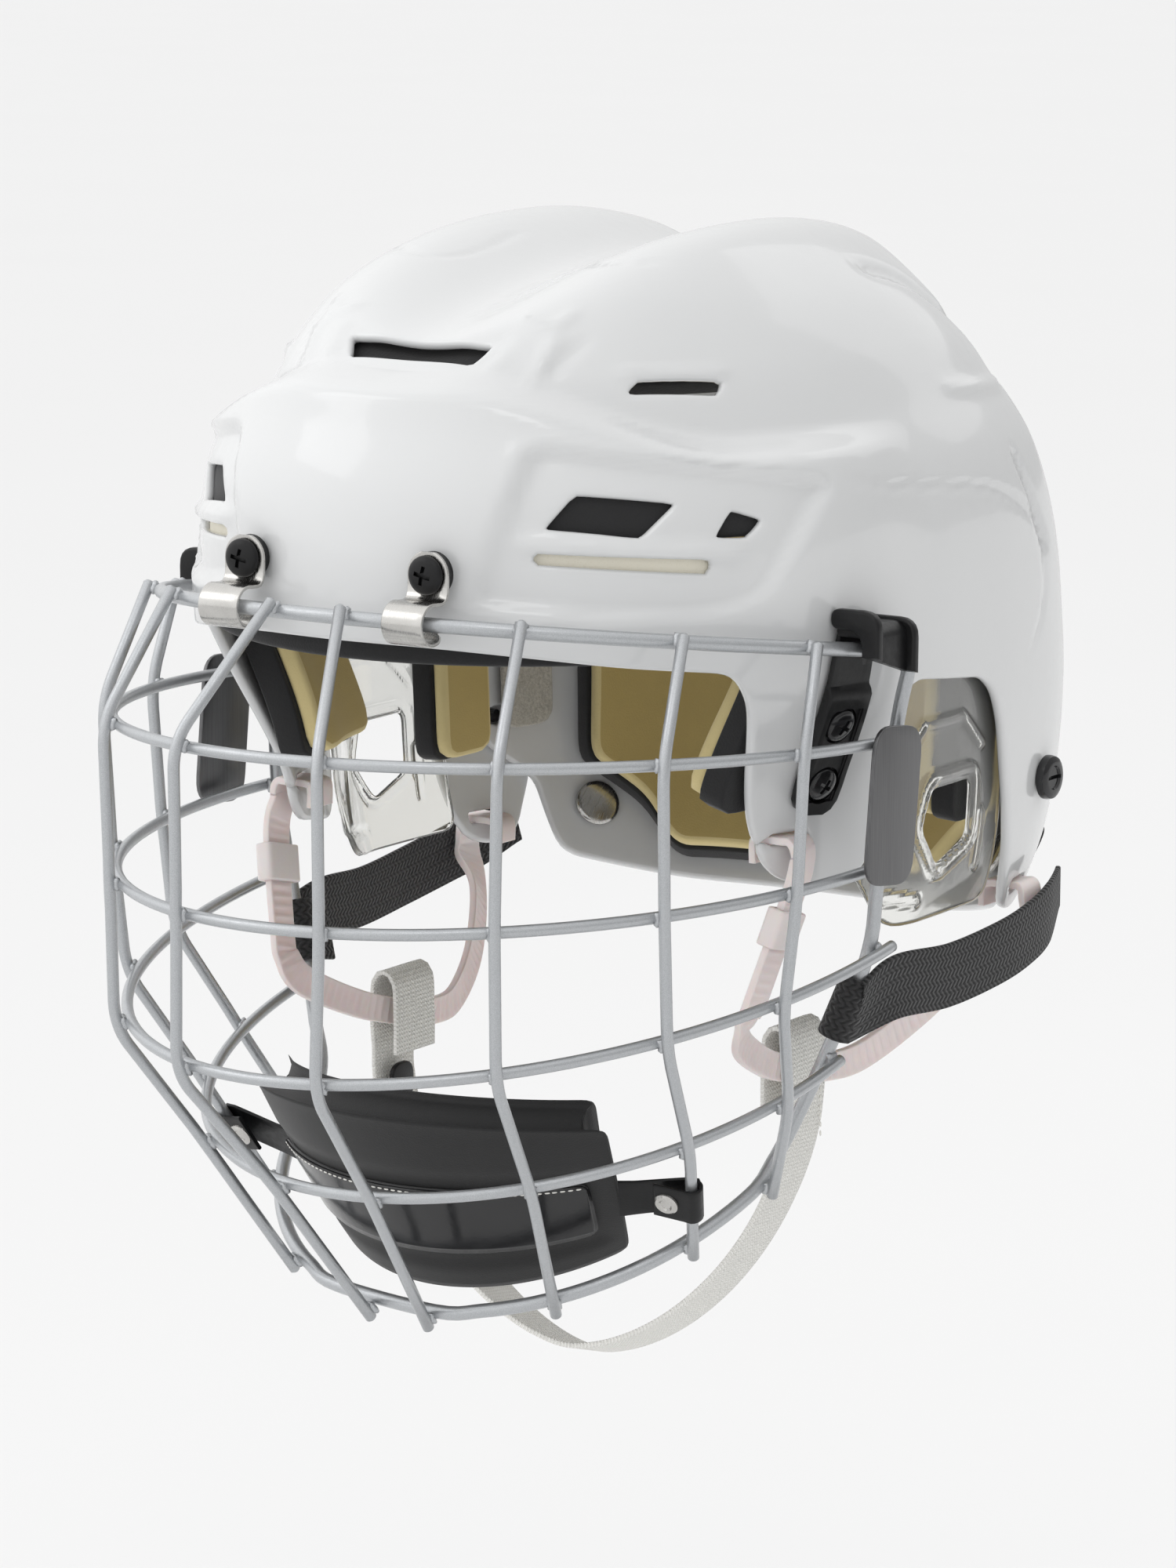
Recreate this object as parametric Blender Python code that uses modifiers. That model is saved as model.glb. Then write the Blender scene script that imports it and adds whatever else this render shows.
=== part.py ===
"""Ice-hockey helmet with a flip-up wire face cage, as separate named pieces.

Metres, +Z up. The origin lies on the symmetry plane, level with the ear openings. The face looks
along -Y and the wearer's left side is +X. Driving dimensions are in millimetres and are scaled
by MM when a mesh is made.
"""
import math

import bmesh
import bpy
from mathutils import Matrix, Vector

MM = 0.001
GAP = 0.3                       # running gap kept between touching pieces

# Shell: horizontal sections from the rim to the crown
# (height, half width, front reach, rear reach, front squareness, rear squareness)
SECTIONS = [
    (-62, 88, -106, 106, 2.1, 2.6),
    (-45, 96, -118, 117, 2.1, 2.6),
    (-20, 102, -128, 130, 2.1, 2.7),
    (10, 104, -135, 138, 2.05, 2.75),
    (40, 105, -137.5, 138, 2.0, 2.7),
    (70, 105, -137.5, 134.5, 2.0, 2.6),
    (95, 101, -135, 127, 2.05, 2.45),
    (113, 91.5, -128, 116, 2.1, 2.35),
    (128, 82.5, -121, 102, 2.15, 2.25),
    (141, 71, -106, 86, 2.15, 2.15),
    (150, 57, -81, 69, 2.1, 2.1),
    (155.5, 41, -54, 48, 2.1, 2.0),
    (158.5, 21, -27, 25, 2.0, 2.0),
    (159.5, 0, 0, 0, 2.0, 2.0),
]
SHELL_CENTRE_Y = 4.0
SHELL_THICKNESS = 3.0
REAR_INSET = 3.9                # the rear shell runs this far inside the front one
BROW_BAND = 13.0                # how far the brow band stands proud of the crown
BROW_LEDGE_FRONT = 125.0        # height of the ledge above the brow band, at the front
BROW_LEDGE_SIDE = 106.0
LOBE_HEIGHT = 5.0               # twin crown lobes and the valley between them
LOBE_X = 43.0
VALLEY_DEPTH = 10.0
TEMPLE_TUCK = 10.0              # how far the front ear lobes lean inwards

# Side outlines (y, z) of the two shells
FRONT_OUTLINE = [
    (-190, 190), (50, 190), (54, 150), (66, 100), (84, 30), (84, 5), (78, -24), (68, -40), (58, -43),
    (48, -40), (43, -30), (37, -7), (30, 19), (25, 28), (17, 33), (-18, 37), (-25, 33), (-28, 24),
    (-26, 0), (-27, -14), (-33, -20), (-56, -16), (-62, -11), (-67, 0), (-84, 38), (-91, 47),
    (-119, 51), (-150, 57), (-190, 57),
]
REAR_OUTLINE = [
    (30, 190), (34, 150), (46, 100), (57, 40), (57, -10), (76, -24), (76, -47), (100, -56), (190, -58),
    (190, 190),
]
# Openings cut through the front shell: corners as (degrees from the front, height)
BROW_VENT = [(-9.5, 130.5), (9.5, 130.5), (11.5, 134.5), (-11.5, 134.5)]
SIDE_VENTS = {
    "crown": [(30, 121.5), (43, 120), (44, 123.5), (31, 124.5)],
    "upper": [(22, 89), (32, 86), (36, 95), (25, 98)],
    "small": [(41, 85), (45, 84.5), (47, 89), (43, 92)],
    "lower": [(21, 79), (40, 75), (40, 79), (21, 82)],
}
SIZE_SCREW = (63.0, -3.0)       # y, z of the screw that clamps the two shells
SIZE_TRAVEL = 10.0              # the rear shell slides this far forwards
LOOP_SLOT_FRONT = (-54.5, -4.0)
LOOP_SLOT_REAR = (57.0, -34.0)

# Rear pad: half span in degrees at each height; the lower corners are cut off at an angle
REAR_PAD_HEIGHTS = (-53, -38, -22, 4, 30, 56, 82)
REAR_PAD_HALF_SPANS = (27, 33, 44, 44, 44, 44, 44)

# Cage: half ellipses seen from above
# name: (front height, rise to the side, half width, front reach, centre y)
FRAME_TOP = (65.5, -17.5, 110.5, 129.5, -33.0)
FRAME_BOTTOM = (-134.5, 40.0, 79.5, 77.0, -45.0)
BARS = [
    (31.5, -7.0, 110.4, 146.0, -45.0),
    (-13.8, 3.0, 107.5, 144.0, -48.0),
    (-55.0, 17.0, 103.5, 147.5, -45.0),
    (-94.0, 24.5, 92.4, 111.5, -45.0),
]
BAR_END = [95.5, 96, 96, 93]      # where each bar ends, degrees from the front
UPRIGHT_ANGLES = [              # at the frame's top, at the four bars, at the frame's bottom
    (6, 11.5, 12, 12, 9.5, 7),
    (30, 34, 34.5, 35.5, 34.5, 32.5),
    (50.5, 54, 55.5, 57, 59, 60),
    (69.5, 73, 74, 73.5, 77, 80),
]
# Side wire of the frame, from the end of the top rail down to the bottom rail
SIDE_RUN = [
    (109.0, -33, 43), (106.5, -34.5, 28), (102.8, -37, -12), (98.8, -36.5, -38),
    (87.2, -42.5, -71), (79.5, -49, -92),
]
FRAME_R = 2.0
WIRE_R = 1.65
BEND = 9.0                      # length of wire taken up by each bend
J_CLIP_X = 30.0                 # the J-clips stand this far from the middle
J_CLIP_WIDTH = 13.0
J_CLIP_SHEET = 1.0
J_CLIP_EYE = 5.4                # mid-sheet radius of the eye round the top rail
J_PLATE_Y = -150.6
J_SCREW_Z = 77.0
CLIP_SCREWS = {"upper": (-53.6, 30.5), "lower": (-51.0, 13.0)}

LOOP_WIDTH = 10.5               # moulded ear loops
LOOP_SHEET = 2.2
CHIN_PIVOT = (67.5, -24.0, -75.0)
CHIN_WEB = (20.0, 1.5)          # width and thickness of the chin webbing
CHIN_LOW_POINT = (-30.0, -168.0)
J_WEB = (18.5, 1.6)             # width and thickness of the black webbing

CUP_SPAN = 58.0                 # half span of the chin cup, degrees
CUP_THICKNESS = 12.0

COLOURS = {                     # RGB, roughness, metallic
    "white_shell": ((0.86, 0.86, 0.85), 0.12, 0.0),
    "cage_paint": ((0.27, 0.29, 0.31), 0.35, 0.8),
    "plate_metal": ((0.13, 0.13, 0.135), 0.35, 0.9),
    "steel": ((0.55, 0.54, 0.52), 0.25, 1.0),
    "black_plastic": ((0.012, 0.012, 0.013), 0.35, 0.0),
    "tan_foam": ((0.50, 0.38, 0.14), 0.9, 0.0),
    "black_foam": ((0.015, 0.015, 0.015), 0.95, 0.0),
    "plush": ((0.42, 0.40, 0.35), 0.95, 0.0),
    "clear_plastic": ((0.80, 0.82, 0.82), 0.05, 0.0),
    "pink_plastic": ((0.80, 0.66, 0.64), 0.4, 0.0),
    "black_webbing": ((0.012, 0.012, 0.012), 0.85, 0.0),
    "white_webbing": ((0.80, 0.79, 0.73), 0.85, 0.0),
}


# ---------------------------------------------------------------- scene and materials

def clear_scene():
    for ob in list(bpy.data.objects):
        bpy.data.objects.remove(ob, do_unlink=True)
    for name in ("hockey_helmet", "cutters"):
        if name not in bpy.data.collections:
            bpy.context.scene.collection.children.link(bpy.data.collections.new(name))


def material(name):
    mat = bpy.data.materials.get(name)
    if mat is None:
        rgb, rough, metal = COLOURS[name]
        mat = bpy.data.materials.new(name)
        mat.use_nodes = True
        shader = mat.node_tree.nodes["Principled BSDF"]
        shader.inputs["Base Color"].default_value = (*rgb, 1.0)
        shader.inputs["Roughness"].default_value = rough
        shader.inputs["Metallic"].default_value = metal
    return mat


def link(ob, collection="hockey_helmet"):
    for col in list(ob.users_collection):
        col.objects.unlink(ob)
    bpy.data.collections[collection].objects.link(ob)
    return ob


def finish_mesh(bm, name, mat, smooth=True):
    """Turns a bmesh in millimetres into a named object in metres."""
    bmesh.ops.recalc_face_normals(bm, faces=bm.faces)
    bmesh.ops.scale(bm, vec=(MM, MM, MM), verts=bm.verts)
    mesh = bpy.data.meshes.new(name)
    bm.to_mesh(mesh)
    bm.free()
    mesh.materials.append(material(mat))
    ob = link(bpy.data.objects.new(name, mesh))
    if smooth:
        mesh.shade_smooth()
        mesh.set_sharp_from_angle(angle=math.radians(40))
    return ob


def make_cutter(ob):
    link(ob, "cutters")
    ob.hide_render = True
    ob.display_type = "WIRE"
    return ob


def boolean(ob, tool, operation="DIFFERENCE"):
    mod = ob.modifiers.new(tool.name, "BOOLEAN")
    mod.operation = operation
    mod.solver = "EXACT"
    mod.object = tool


# ---------------------------------------------------------------- shell surface

def ease(low, high, value):
    s = min(max((value - low) / (high - low), 0.0), 1.0)
    return s * s * (3 - 2 * s)


def bell(value, centre, width):
    return math.exp(-((value - centre) / width) ** 2)


def section(level):
    """Shell section at a level counted in SECTIONS steps, smoothly between them."""
    last = len(SECTIONS) - 1
    level = min(max(level, 0.0), last)
    i = min(int(level), last - 1)
    u = level - i
    a, b, c, d = (SECTIONS[k] for k in (max(i - 1, 0), i, i + 1, min(i + 2, last)))
    return [
        0.5 * (2 * q + (r - p) * u + (2 * p - 5 * q + 4 * r - s) * u * u
               + (3 * q - p - 3 * r + s) * u ** 3)
        for p, q, r, s in zip(a, b, c, d)
    ]


def level_at(height):
    low, high = 0.0, len(SECTIONS) - 1.0
    for _ in range(30):
        mid = (low + high) / 2
        if section(mid)[0] < height:
            low = mid
        else:
            high = mid
    return low


def brow_offset(side, z):
    """Outward offset of the brow band and inward lean of the temples; side is in degrees."""
    ledge = BROW_LEDGE_FRONT + (BROW_LEDGE_SIDE - BROW_LEDGE_FRONT) * ease(8, 45, side)
    low = 1 - (1 - ease(0, 80, z)) * ease(25, 50, side)
    band = BROW_BAND * (1 - ease(48, 82, side)) * (1 - ease(ledge - 4, ledge + 5, z)) * low
    tuck = TEMPLE_TUCK * ease(30, 50, side) * (1 - ease(62, 88, side)) * (1 - ease(-5, 45, z))
    return band - tuck


def shell_point(degrees, level):
    """Point on the outer surface; 0 degrees is the front and +90 the wearer's left."""
    z, width, front, rear, square_front, square_rear = section(level)
    angle = math.radians(degrees)
    c, s = math.cos(angle), math.sin(angle)
    side = abs(math.degrees(math.atan2(s, c)))
    reach = SHELL_CENTRE_Y - front if c > 0 else rear - SHELL_CENTRE_Y
    square = square_rear + (square_front - square_rear) * ease(-0.3, 0.3, c)
    if width < 1e-6:
        radius = 0.0
    else:
        radius = ((abs(s) / width) ** square + (abs(c) / reach) ** square) ** (-1 / square)
        radius += brow_offset(side, z)
    x, y = radius * s, SHELL_CENTRE_Y - radius * c
    crown = ease(120, 156, z)
    z += crown * (LOBE_HEIGHT * bell(abs(x), LOBE_X, 20) - VALLEY_DEPTH * bell(x, 0, 22))
    return Vector((x, y, z))


def inset_point(degrees, level, depth):
    """Point a given depth inside the outer surface."""
    step = 0.5
    top = len(SECTIONS) - 1
    along = shell_point(degrees + step, level) - shell_point(degrees - step, level)
    up = shell_point(degrees, min(level + 0.1, top)) - shell_point(degrees, max(level - 0.1, 0.0))
    normal = along.cross(up)
    if normal.length < 1e-6:
        return shell_point(degrees, level) - Vector((0, 0, depth))
    return shell_point(degrees, level) - normal.normalized() * depth


def surface_at(degrees, height, depth=0.0):
    return inset_point(degrees, level_at(height), depth)


def degrees_at(y, height, depth=0.0):
    """Angle on the wearer's left at which the surface crosses the given y."""
    low, high = 1.0, 179.0
    for _ in range(30):
        mid = (low + high) / 2
        if surface_at(mid, height, depth).y < y:
            low = mid
        else:
            high = mid
    return low


def grid_mesh(rows, closed=False, apex=None):
    """Open skin through rows of points, optionally closed round and capped by an apex."""
    bm = bmesh.new()
    verts = [[bm.verts.new(p) for p in row] for row in rows]
    count = len(rows[0])
    for lower, upper in zip(verts, verts[1:]):
        for j in range(count if closed else count - 1):
            k = (j + 1) % count
            bm.faces.new((lower[j], lower[k], upper[k], upper[j]))
    if apex is not None:
        tip = bm.verts.new(apex)
        for j in range(count):
            bm.faces.new((verts[-1][j], verts[-1][(j + 1) % count], tip))
    return bm


def outward(bm, centre=(0, 4, 40)):
    """Points the faces of a skin away from the middle of the head."""
    bm.normal_update()
    for face in bm.faces:
        if face.normal.dot(face.calc_center_median() - Vector(centre)) < 0:
            face.normal_flip()


def skin_object(bm, name, mat, thickness):
    """Open skin in millimetres, given its thickness inwards by Solidify."""
    outward(bm)
    bmesh.ops.scale(bm, vec=(MM, MM, MM), verts=bm.verts)
    mesh = bpy.data.meshes.new(name)
    bm.to_mesh(mesh)
    bm.free()
    mesh.materials.append(material(mat))
    mesh.shade_smooth()
    ob = link(bpy.data.objects.new(name, mesh))
    mod = ob.modifiers.new("wall", "SOLIDIFY")
    mod.thickness = thickness * MM
    mod.offset = -1.0
    mod.use_even_offset = False
    return ob


def shell_skin(name, mat, depth):
    around = 44
    levels = [0, 0.6, 1.2, 2, 2.7, 3.4, 4.2, 5, 5.7, 6.4, 7, 7.6, 8.3, 9, 9.7, 10.4, 11.2, 12]
    rows = [
        [inset_point(360 * (j + 0.5) / around, level, depth) for j in range(around)]
        for level in levels
    ]
    apex = shell_point(0, len(SECTIONS) - 1) - Vector((0, 0, depth))
    return skin_object(grid_mesh(rows, closed=True, apex=apex), name, mat, SHELL_THICKNESS)


# ---------------------------------------------------------------- general solids

def prism(name, outline, plane, low, high, mat=None):
    """Flat outline extruded between two positions along the third axis."""
    bm = bmesh.new()
    ends = []
    for depth in (low, high):
        if plane == "YZ":
            ends.append([bm.verts.new((depth, a, b)) for a, b in outline])
        else:
            ends.append([bm.verts.new((a, b, depth)) for a, b in outline])
    count = len(outline)
    bm.faces.new(ends[0])
    bm.faces.new(ends[1][::-1])
    for j in range(count):
        k = (j + 1) % count
        bm.faces.new((ends[0][j], ends[1][j], ends[1][k], ends[0][k]))
    return finish_mesh(bm, name, mat or "black_plastic", smooth=False)


def vent_cutter(name, corners, side):
    """Radial cutter through the shell; corners are (degrees, height)."""
    bm = bmesh.new()
    ends = []
    middle = math.radians(side * sum(c[0] for c in corners) / len(corners))
    out = Vector((math.sin(middle), -math.cos(middle), 0.25))
    for reach in (14, -14):
        ends.append([bm.verts.new(surface_at(side * a, h) + out * reach) for a, h in corners])
    count = len(corners)
    bm.faces.new(ends[0])
    bm.faces.new(ends[1][::-1])
    for j in range(count):
        k = (j + 1) % count
        bm.faces.new((ends[0][j], ends[1][j], ends[1][k], ends[0][k]))
    return make_cutter(finish_mesh(bm, name, "black_plastic", smooth=False))


def rod(name, start, end, radius, mat, sides=16, tip_radius=None):
    """Straight round bar between two points in millimetres, its origin at the start."""
    start, end = Vector(start), Vector(end)
    axis = end - start
    bm = bmesh.new()
    bmesh.ops.create_cone(
        bm, cap_ends=True, segments=sides, radius1=radius * MM,
        radius2=(radius if tip_radius is None else tip_radius) * MM, depth=axis.length * MM)
    bmesh.ops.translate(bm, vec=(0, 0, axis.length * MM / 2), verts=bm.verts)
    mesh = bpy.data.meshes.new(name)
    bm.to_mesh(mesh)
    bm.free()
    mesh.materials.append(material(mat))
    mesh.shade_smooth()
    mesh.set_sharp_from_angle(angle=math.radians(40))
    ob = link(bpy.data.objects.new(name, mesh))
    ob.location = start * MM
    ob.rotation_euler = axis.to_track_quat("Z", "Y").to_euler()
    return ob


def block(name, size, mat, location=(0, 0, 0), rotation=(0, 0, 0), bevel=0.0):
    """Box in millimetres with optional rounded edges; rotation in degrees."""
    bm = bmesh.new()
    bmesh.ops.create_cube(bm, size=1.0)
    bmesh.ops.scale(bm, vec=[s * MM for s in size], verts=bm.verts)
    mesh = bpy.data.meshes.new(name)
    bm.to_mesh(mesh)
    bm.free()
    mesh.materials.append(material(mat))
    ob = link(bpy.data.objects.new(name, mesh))
    ob.location = Vector(location) * MM
    ob.rotation_euler = [math.radians(r) for r in rotation]
    if bevel:
        mod = ob.modifiers.new("edges", "BEVEL")
        mod.width = bevel * MM
        mod.segments = 2
    return ob


def rounded_path(points, radius, steps=3):
    """Polyline whose corners become short arcs that still pass through the corner points."""
    points = [Vector(p) for p in points]
    path = [points[0]]
    for before, through, after in zip(points, points[1:], points[2:]):
        a, b = before - through, after - through
        cut = min(radius, a.length * 0.45, b.length * 0.45)
        a.normalize()
        b.normalize()
        corner = through - (a + b) * cut / 4
        p, q = corner + a * cut, corner + b * cut
        for k in range(steps + 1):
            u = k / steps
            path.append(p * (1 - u) ** 2 + corner * 2 * u * (1 - u) + q * u * u)
    path.append(points[-1])
    return path


def wire(name, points, radius, mat="cage_paint", cyclic=False):
    """Round wire along a path in millimetres, as a bevelled poly curve."""
    curve = bpy.data.curves.new(name, "CURVE")
    curve.dimensions = "3D"
    curve.bevel_depth = radius * MM
    curve.bevel_resolution = 2
    curve.use_fill_caps = not cyclic
    spline = curve.splines.new("POLY")
    spline.points.add(len(points) - 1)
    for node, p in zip(spline.points, points):
        node.co = (*(Vector(p) * MM), 1.0)
    spline.use_cyclic_u = cyclic
    curve.materials.append(material(mat))
    return link(bpy.data.objects.new(name, curve))


def smooth_path(points, steps=4):
    """Catmull-Rom curve through a few points."""
    pts = [Vector(p) for p in points]
    pts = [pts[0] * 2 - pts[1]] + pts + [pts[-1] * 2 - pts[-2]]
    path = []
    for a, b, c, d in zip(pts, pts[1:], pts[2:], pts[3:]):
        for k in range(steps):
            u = k / steps
            path.append(0.5 * (2 * b + (c - a) * u + (2 * a - 5 * b + 4 * c - d) * u * u
                               + (3 * b - a - 3 * c + d) * u ** 3))
    path.append(pts[-2])
    return path


def ribbon(name, path, across, width, thickness, mat, pivot=None):
    """Flat strap: a rectangle swept along a path, its width along the across vectors."""
    bm = bmesh.new()
    rings = []
    widths = width if isinstance(width, list) else [width] * len(path)
    thicks = thickness if isinstance(thickness, list) else [thickness] * len(path)
    for i, p in enumerate(path):
        along = (path[min(i + 1, len(path) - 1)] - path[max(i - 1, 0)]).normalized()
        wide = across[i] - along * across[i].dot(along)
        wide.normalize()
        thin = along.cross(wide)
        w, t = wide * widths[i] / 2, thin * thicks[i] / 2
        rings.append([bm.verts.new(q) for q in (p - w - t, p + w - t, p + w + t, p - w + t)])
    for a, b in zip(rings, rings[1:]):
        for j in range(4):
            k = (j + 1) % 4
            bm.faces.new((a[j], a[k], b[k], b[j]))
    bm.faces.new(rings[0][::-1])
    bm.faces.new(rings[-1])
    if pivot is not None:
        bmesh.ops.translate(bm, vec=-Vector(pivot), verts=bm.verts)
    ob = finish_mesh(bm, name, mat, smooth=False)
    if pivot is not None:
        ob.location = Vector(pivot) * MM
    return ob


def mirror_x(point):
    return Vector((-point[0], point[1], point[2]))


def both_sides():
    return (("left", 1), ("right", -1))


def flip(point, side):
    return Vector((point[0] * side, point[1], point[2]))


# ---------------------------------------------------------------- helmet pieces

def make_shells():
    front = shell_skin("front_shell", "white_shell", 0.0)
    boolean(front, make_cutter(prism("front_outline", FRONT_OUTLINE, "YZ", -150, 150)), "INTERSECT")
    boolean(front, vent_cutter("brow_vent", BROW_VENT, 1))
    rear = shell_skin("rear_shell", "white_shell", REAR_INSET)
    boolean(rear, make_cutter(prism("rear_outline", REAR_OUTLINE, "YZ", -150, 150)), "INTERSECT")
    for label, side in both_sides():
        for name, corners in SIDE_VENTS.items():
            boolean(front, vent_cutter(f"vent_{name}_{label}", corners, side))
        for name, (y, z) in (("front", LOOP_SLOT_FRONT), ("rear", LOOP_SLOT_REAR)):
            slot = block(f"loop_slot_{name}_{label}", (40, 13, 3.2), "black_plastic",
                         location=(92 * side, y, z))
            boolean(front, make_cutter(slot))
        y, z = SIZE_SCREW
        hole = rod(f"size_hole_{label}", (80 * side, y, z), (120 * side, y, z), 2.6, "black_plastic", 12)
        boolean(front, make_cutter(hole))
        slot = block(f"size_slot_{label}", (40, SIZE_TRAVEL + 5.6, 5.4), "black_plastic",
                     location=(92 * side, y + SIZE_TRAVEL / 2, z))
        boolean(rear, make_cutter(slot))
    return front, rear


def pad_patch(name, mat, y_range, z_range, depth, thickness, side, columns=5, rows=4):
    """Foam pad following the inside of the shell between two y and two z positions."""
    z0, z1 = z_range
    grid = []
    for i in range(rows + 1):
        z = z0 + (z1 - z0) * i / rows
        a0, a1 = (degrees_at(y, z, depth) for y in y_range)
        grid.append([surface_at(side * (a0 + (a1 - a0) * j / columns), z, depth)
                     for j in range(columns + 1)])
    return skin_object(grid_mesh(grid), name, mat, thickness)


def arc_patch(name, mat, angles, heights, depth, thickness, columns=12):
    """Foam pad on the inside of the shell; angles gives its two ends at every height."""
    grid = [
        [surface_at(low + (high - low) * j / columns, z, depth) for j in range(columns + 1)]
        for z, (low, high) in zip(heights, angles)
    ]
    return skin_object(grid_mesh(grid), name, mat, thickness)


def make_liner():
    arc_patch("brow_foam", "black_foam", [(-46, 46)] * 4, (51, 57, 63, 70), 5.0, 12.0, columns=16)
    arc_patch("crown_pad", "black_foam", [(-60, 60)] * 5, (126, 132, 138, 144, 149), 5.2, 9.0)
    angles = [(180 - half, 180 + half) for half in REAR_PAD_HALF_SPANS]
    arc_patch("rear_pad", "tan_foam", angles, REAR_PAD_HEIGHTS, 8.2, 12.0)
    for label, side in both_sides():
        pad_patch(f"temple_pad_{label}", "tan_foam", (-76, -34), (3, 46), 5.4, 14.0, side)
        pad_patch(f"side_pad_{label}", "tan_foam", (20, 45), (-12, 60), 9.8, 12.0, side)
        pad_patch(f"plush_insert_{label}", "plush", (62, 81), (-8, 60), 8.9, 2.0, side, columns=4)


def make_ear_guards():
    for label, side in both_sides():
        guard = pad_patch(f"ear_guard_{label}", "clear_plastic", (-31, 41), (-36, 41), 4.3, 1.6, side,
                          columns=10, rows=8)
        hole = [(-6, -8), (4, -20), (21, -14), (21, 3), (-2, 3)]
        tool = prism(f"hearing_hole_{label}", hole, "YZ", 80 * side, 120 * side)
        boolean(guard, make_cutter(tool))
        corner = [(-34, -9), (-12, -39), (-34, -39)]
        tool = prism(f"guard_corner_{label}", corner, "YZ", 70 * side, 130 * side)
        boolean(guard, make_cutter(tool))


def make_size_screws():
    y, z = SIZE_SCREW
    for label, side in both_sides():
        out = Vector((side, 0, 0))
        base = surface_at(side * degrees_at(y, z), z) + out * (GAP + 1.0)
        turned_fastener(f"size_screw_{label}", base, out, 6.5, 3.0, 2.0, 8.2, "black_plastic")


def turned_fastener(name, base, out, head_r, head_h, shank_r, shank_length, mat):
    """Domed screw head with its shank, turned about the out direction; base is under the head."""
    profile = [
        (0, head_h), (head_r * 0.55, head_h), (head_r * 0.92, head_h * 0.55), (head_r, 0),
        (shank_r, 0), (shank_r, -shank_length), (0, -shank_length),
    ]
    bm = bmesh.new()
    verts = [bm.verts.new((r, 0, h)) for r, h in profile]
    for a, b in zip(verts, verts[1:]):
        bm.edges.new((a, b))
    bmesh.ops.scale(bm, vec=(MM, MM, MM), verts=bm.verts)
    mesh = bpy.data.meshes.new(name)
    bm.to_mesh(mesh)
    bm.free()
    mesh.materials.append(material(mat))
    ob = link(bpy.data.objects.new(name, mesh))
    mod = ob.modifiers.new("turn", "SCREW")
    mod.steps = 14
    mod.render_steps = 14
    mod.use_merge_vertices = True
    mod.merge_threshold = 0.0001
    ob.location = Vector(base) * MM
    ob.rotation_euler = Vector(out).to_track_quat("Z", "Y").to_euler()
    return ob


def ellipse_point(rail, degrees, outset=0.0):
    front_z, rise, width, reach, centre = rail
    a = math.radians(degrees)
    z = front_z + rise * (1 - math.cos(a))
    x, y = width * math.sin(a), centre - reach * math.cos(a)
    out = Vector((math.sin(a) / width, -math.cos(a) / reach, 0)).normalized()
    return Vector((x, y, z)) + out * outset


def make_cage():
    half = [ellipse_point(FRAME_TOP, a) for a in range(0, 80, 8)]
    half += rounded_path([ellipse_point(FRAME_TOP, 80), (109.6, -33, 47.5)] + SIDE_RUN
                         + [ellipse_point(FRAME_BOTTOM, 78)], 7)
    half += [ellipse_point(FRAME_BOTTOM, a) for a in range(68, -1, -10)]
    half.append(ellipse_point(FRAME_BOTTOM, 0))
    loop = half + [mirror_x(p) for p in half[-2:0:-1]]
    wire("cage_frame", loop, FRAME_R, cyclic=True)
    steps = 13
    for index, (bar, end) in enumerate(zip(BARS, BAR_END), start=1):
        points = [ellipse_point(bar, end * k / steps) for k in range(-steps, steps + 1)]
        wire(f"cage_bar_{index}", points, WIRE_R)
    for index, angles in enumerate(UPRIGHT_ANGLES, start=1):
        path = upright_path(angles)
        for label, side in both_sides():
            wire(f"cage_upright_{index}_{label}", [flip(p, side) for p in path], WIRE_R)


def upright_path(angles, top_overrun=1.4, overrun=3.0):
    """Upright lying against the outside of every rail it crosses, with both ends run over."""
    rails = [FRAME_TOP] + BARS + [FRAME_BOTTOM]
    radii = [FRAME_R] + [WIRE_R] * len(BARS) + [FRAME_R]
    centres = [ellipse_point(rail, a) for rail, a in zip(rails, angles)]
    points = []
    for i, (rail, a, radius) in enumerate(zip(rails, angles, radii)):
        out = (ellipse_point(rail, a, 1.0) - centres[i]).normalized()
        along = centres[min(i + 1, len(rails) - 1)] - centres[max(i - 1, 0)]
        along.normalize()
        out = (out - along * out.dot(along)).normalized()
        points.append(centres[i] + out * (radius + WIRE_R + GAP))
    points[0] += (points[0] - points[1]).normalized() * top_overrun
    points[-1] += (points[-1] - points[-2]).normalized() * overrun
    return rounded_path(points, BEND)


def make_name_plates():
    """Thin plates with rounded corners that cover the ends of the two upper bars."""
    for label, side in both_sides():
        plate = block(f"name_plate_{label}", (1.4, 24, 44), "plate_metal",
                      location=(113.6 * side, -49, 7.5), rotation=(-7, 0, -2 * side))
        weights = plate.data.attributes.new("bevel_weight_edge", "FLOAT", "EDGE")
        for edge in plate.data.edges:
            a, b = (plate.data.vertices[i].co for i in edge.vertices)
            weights.data[edge.index].value = 1.0 if abs(b.x - a.x) > abs(b.y - a.y) + abs(b.z - a.z) else 0.0
        bevel = plate.modifiers.new("corners", "BEVEL")
        bevel.width = 5 * MM
        bevel.segments = 4
        bevel.limit_method = "WEIGHT"


def strip_outline(path, thickness):
    """Closed outline of a bent sheet seen on edge, from its mid-line of (a, b) points."""
    left, right = [], []
    for i, p in enumerate(path):
        q, r = path[max(i - 1, 0)], path[min(i + 1, len(path) - 1)]
        along = Vector((r[0] - q[0], r[1] - q[1])).normalized()
        normal = Vector((-along.y, along.x)) * thickness / 2
        left.append((p[0] + normal.x, p[1] + normal.y))
        right.append((p[0] - normal.x, p[1] - normal.y))
    return left + right[::-1]


def rail_in_clip():
    """Point of the top rail inside the left J-clip; the cage flips up about the line through both."""
    return ellipse_point(FRAME_TOP, math.degrees(math.asin(J_CLIP_X / FRAME_TOP[2])))


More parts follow.
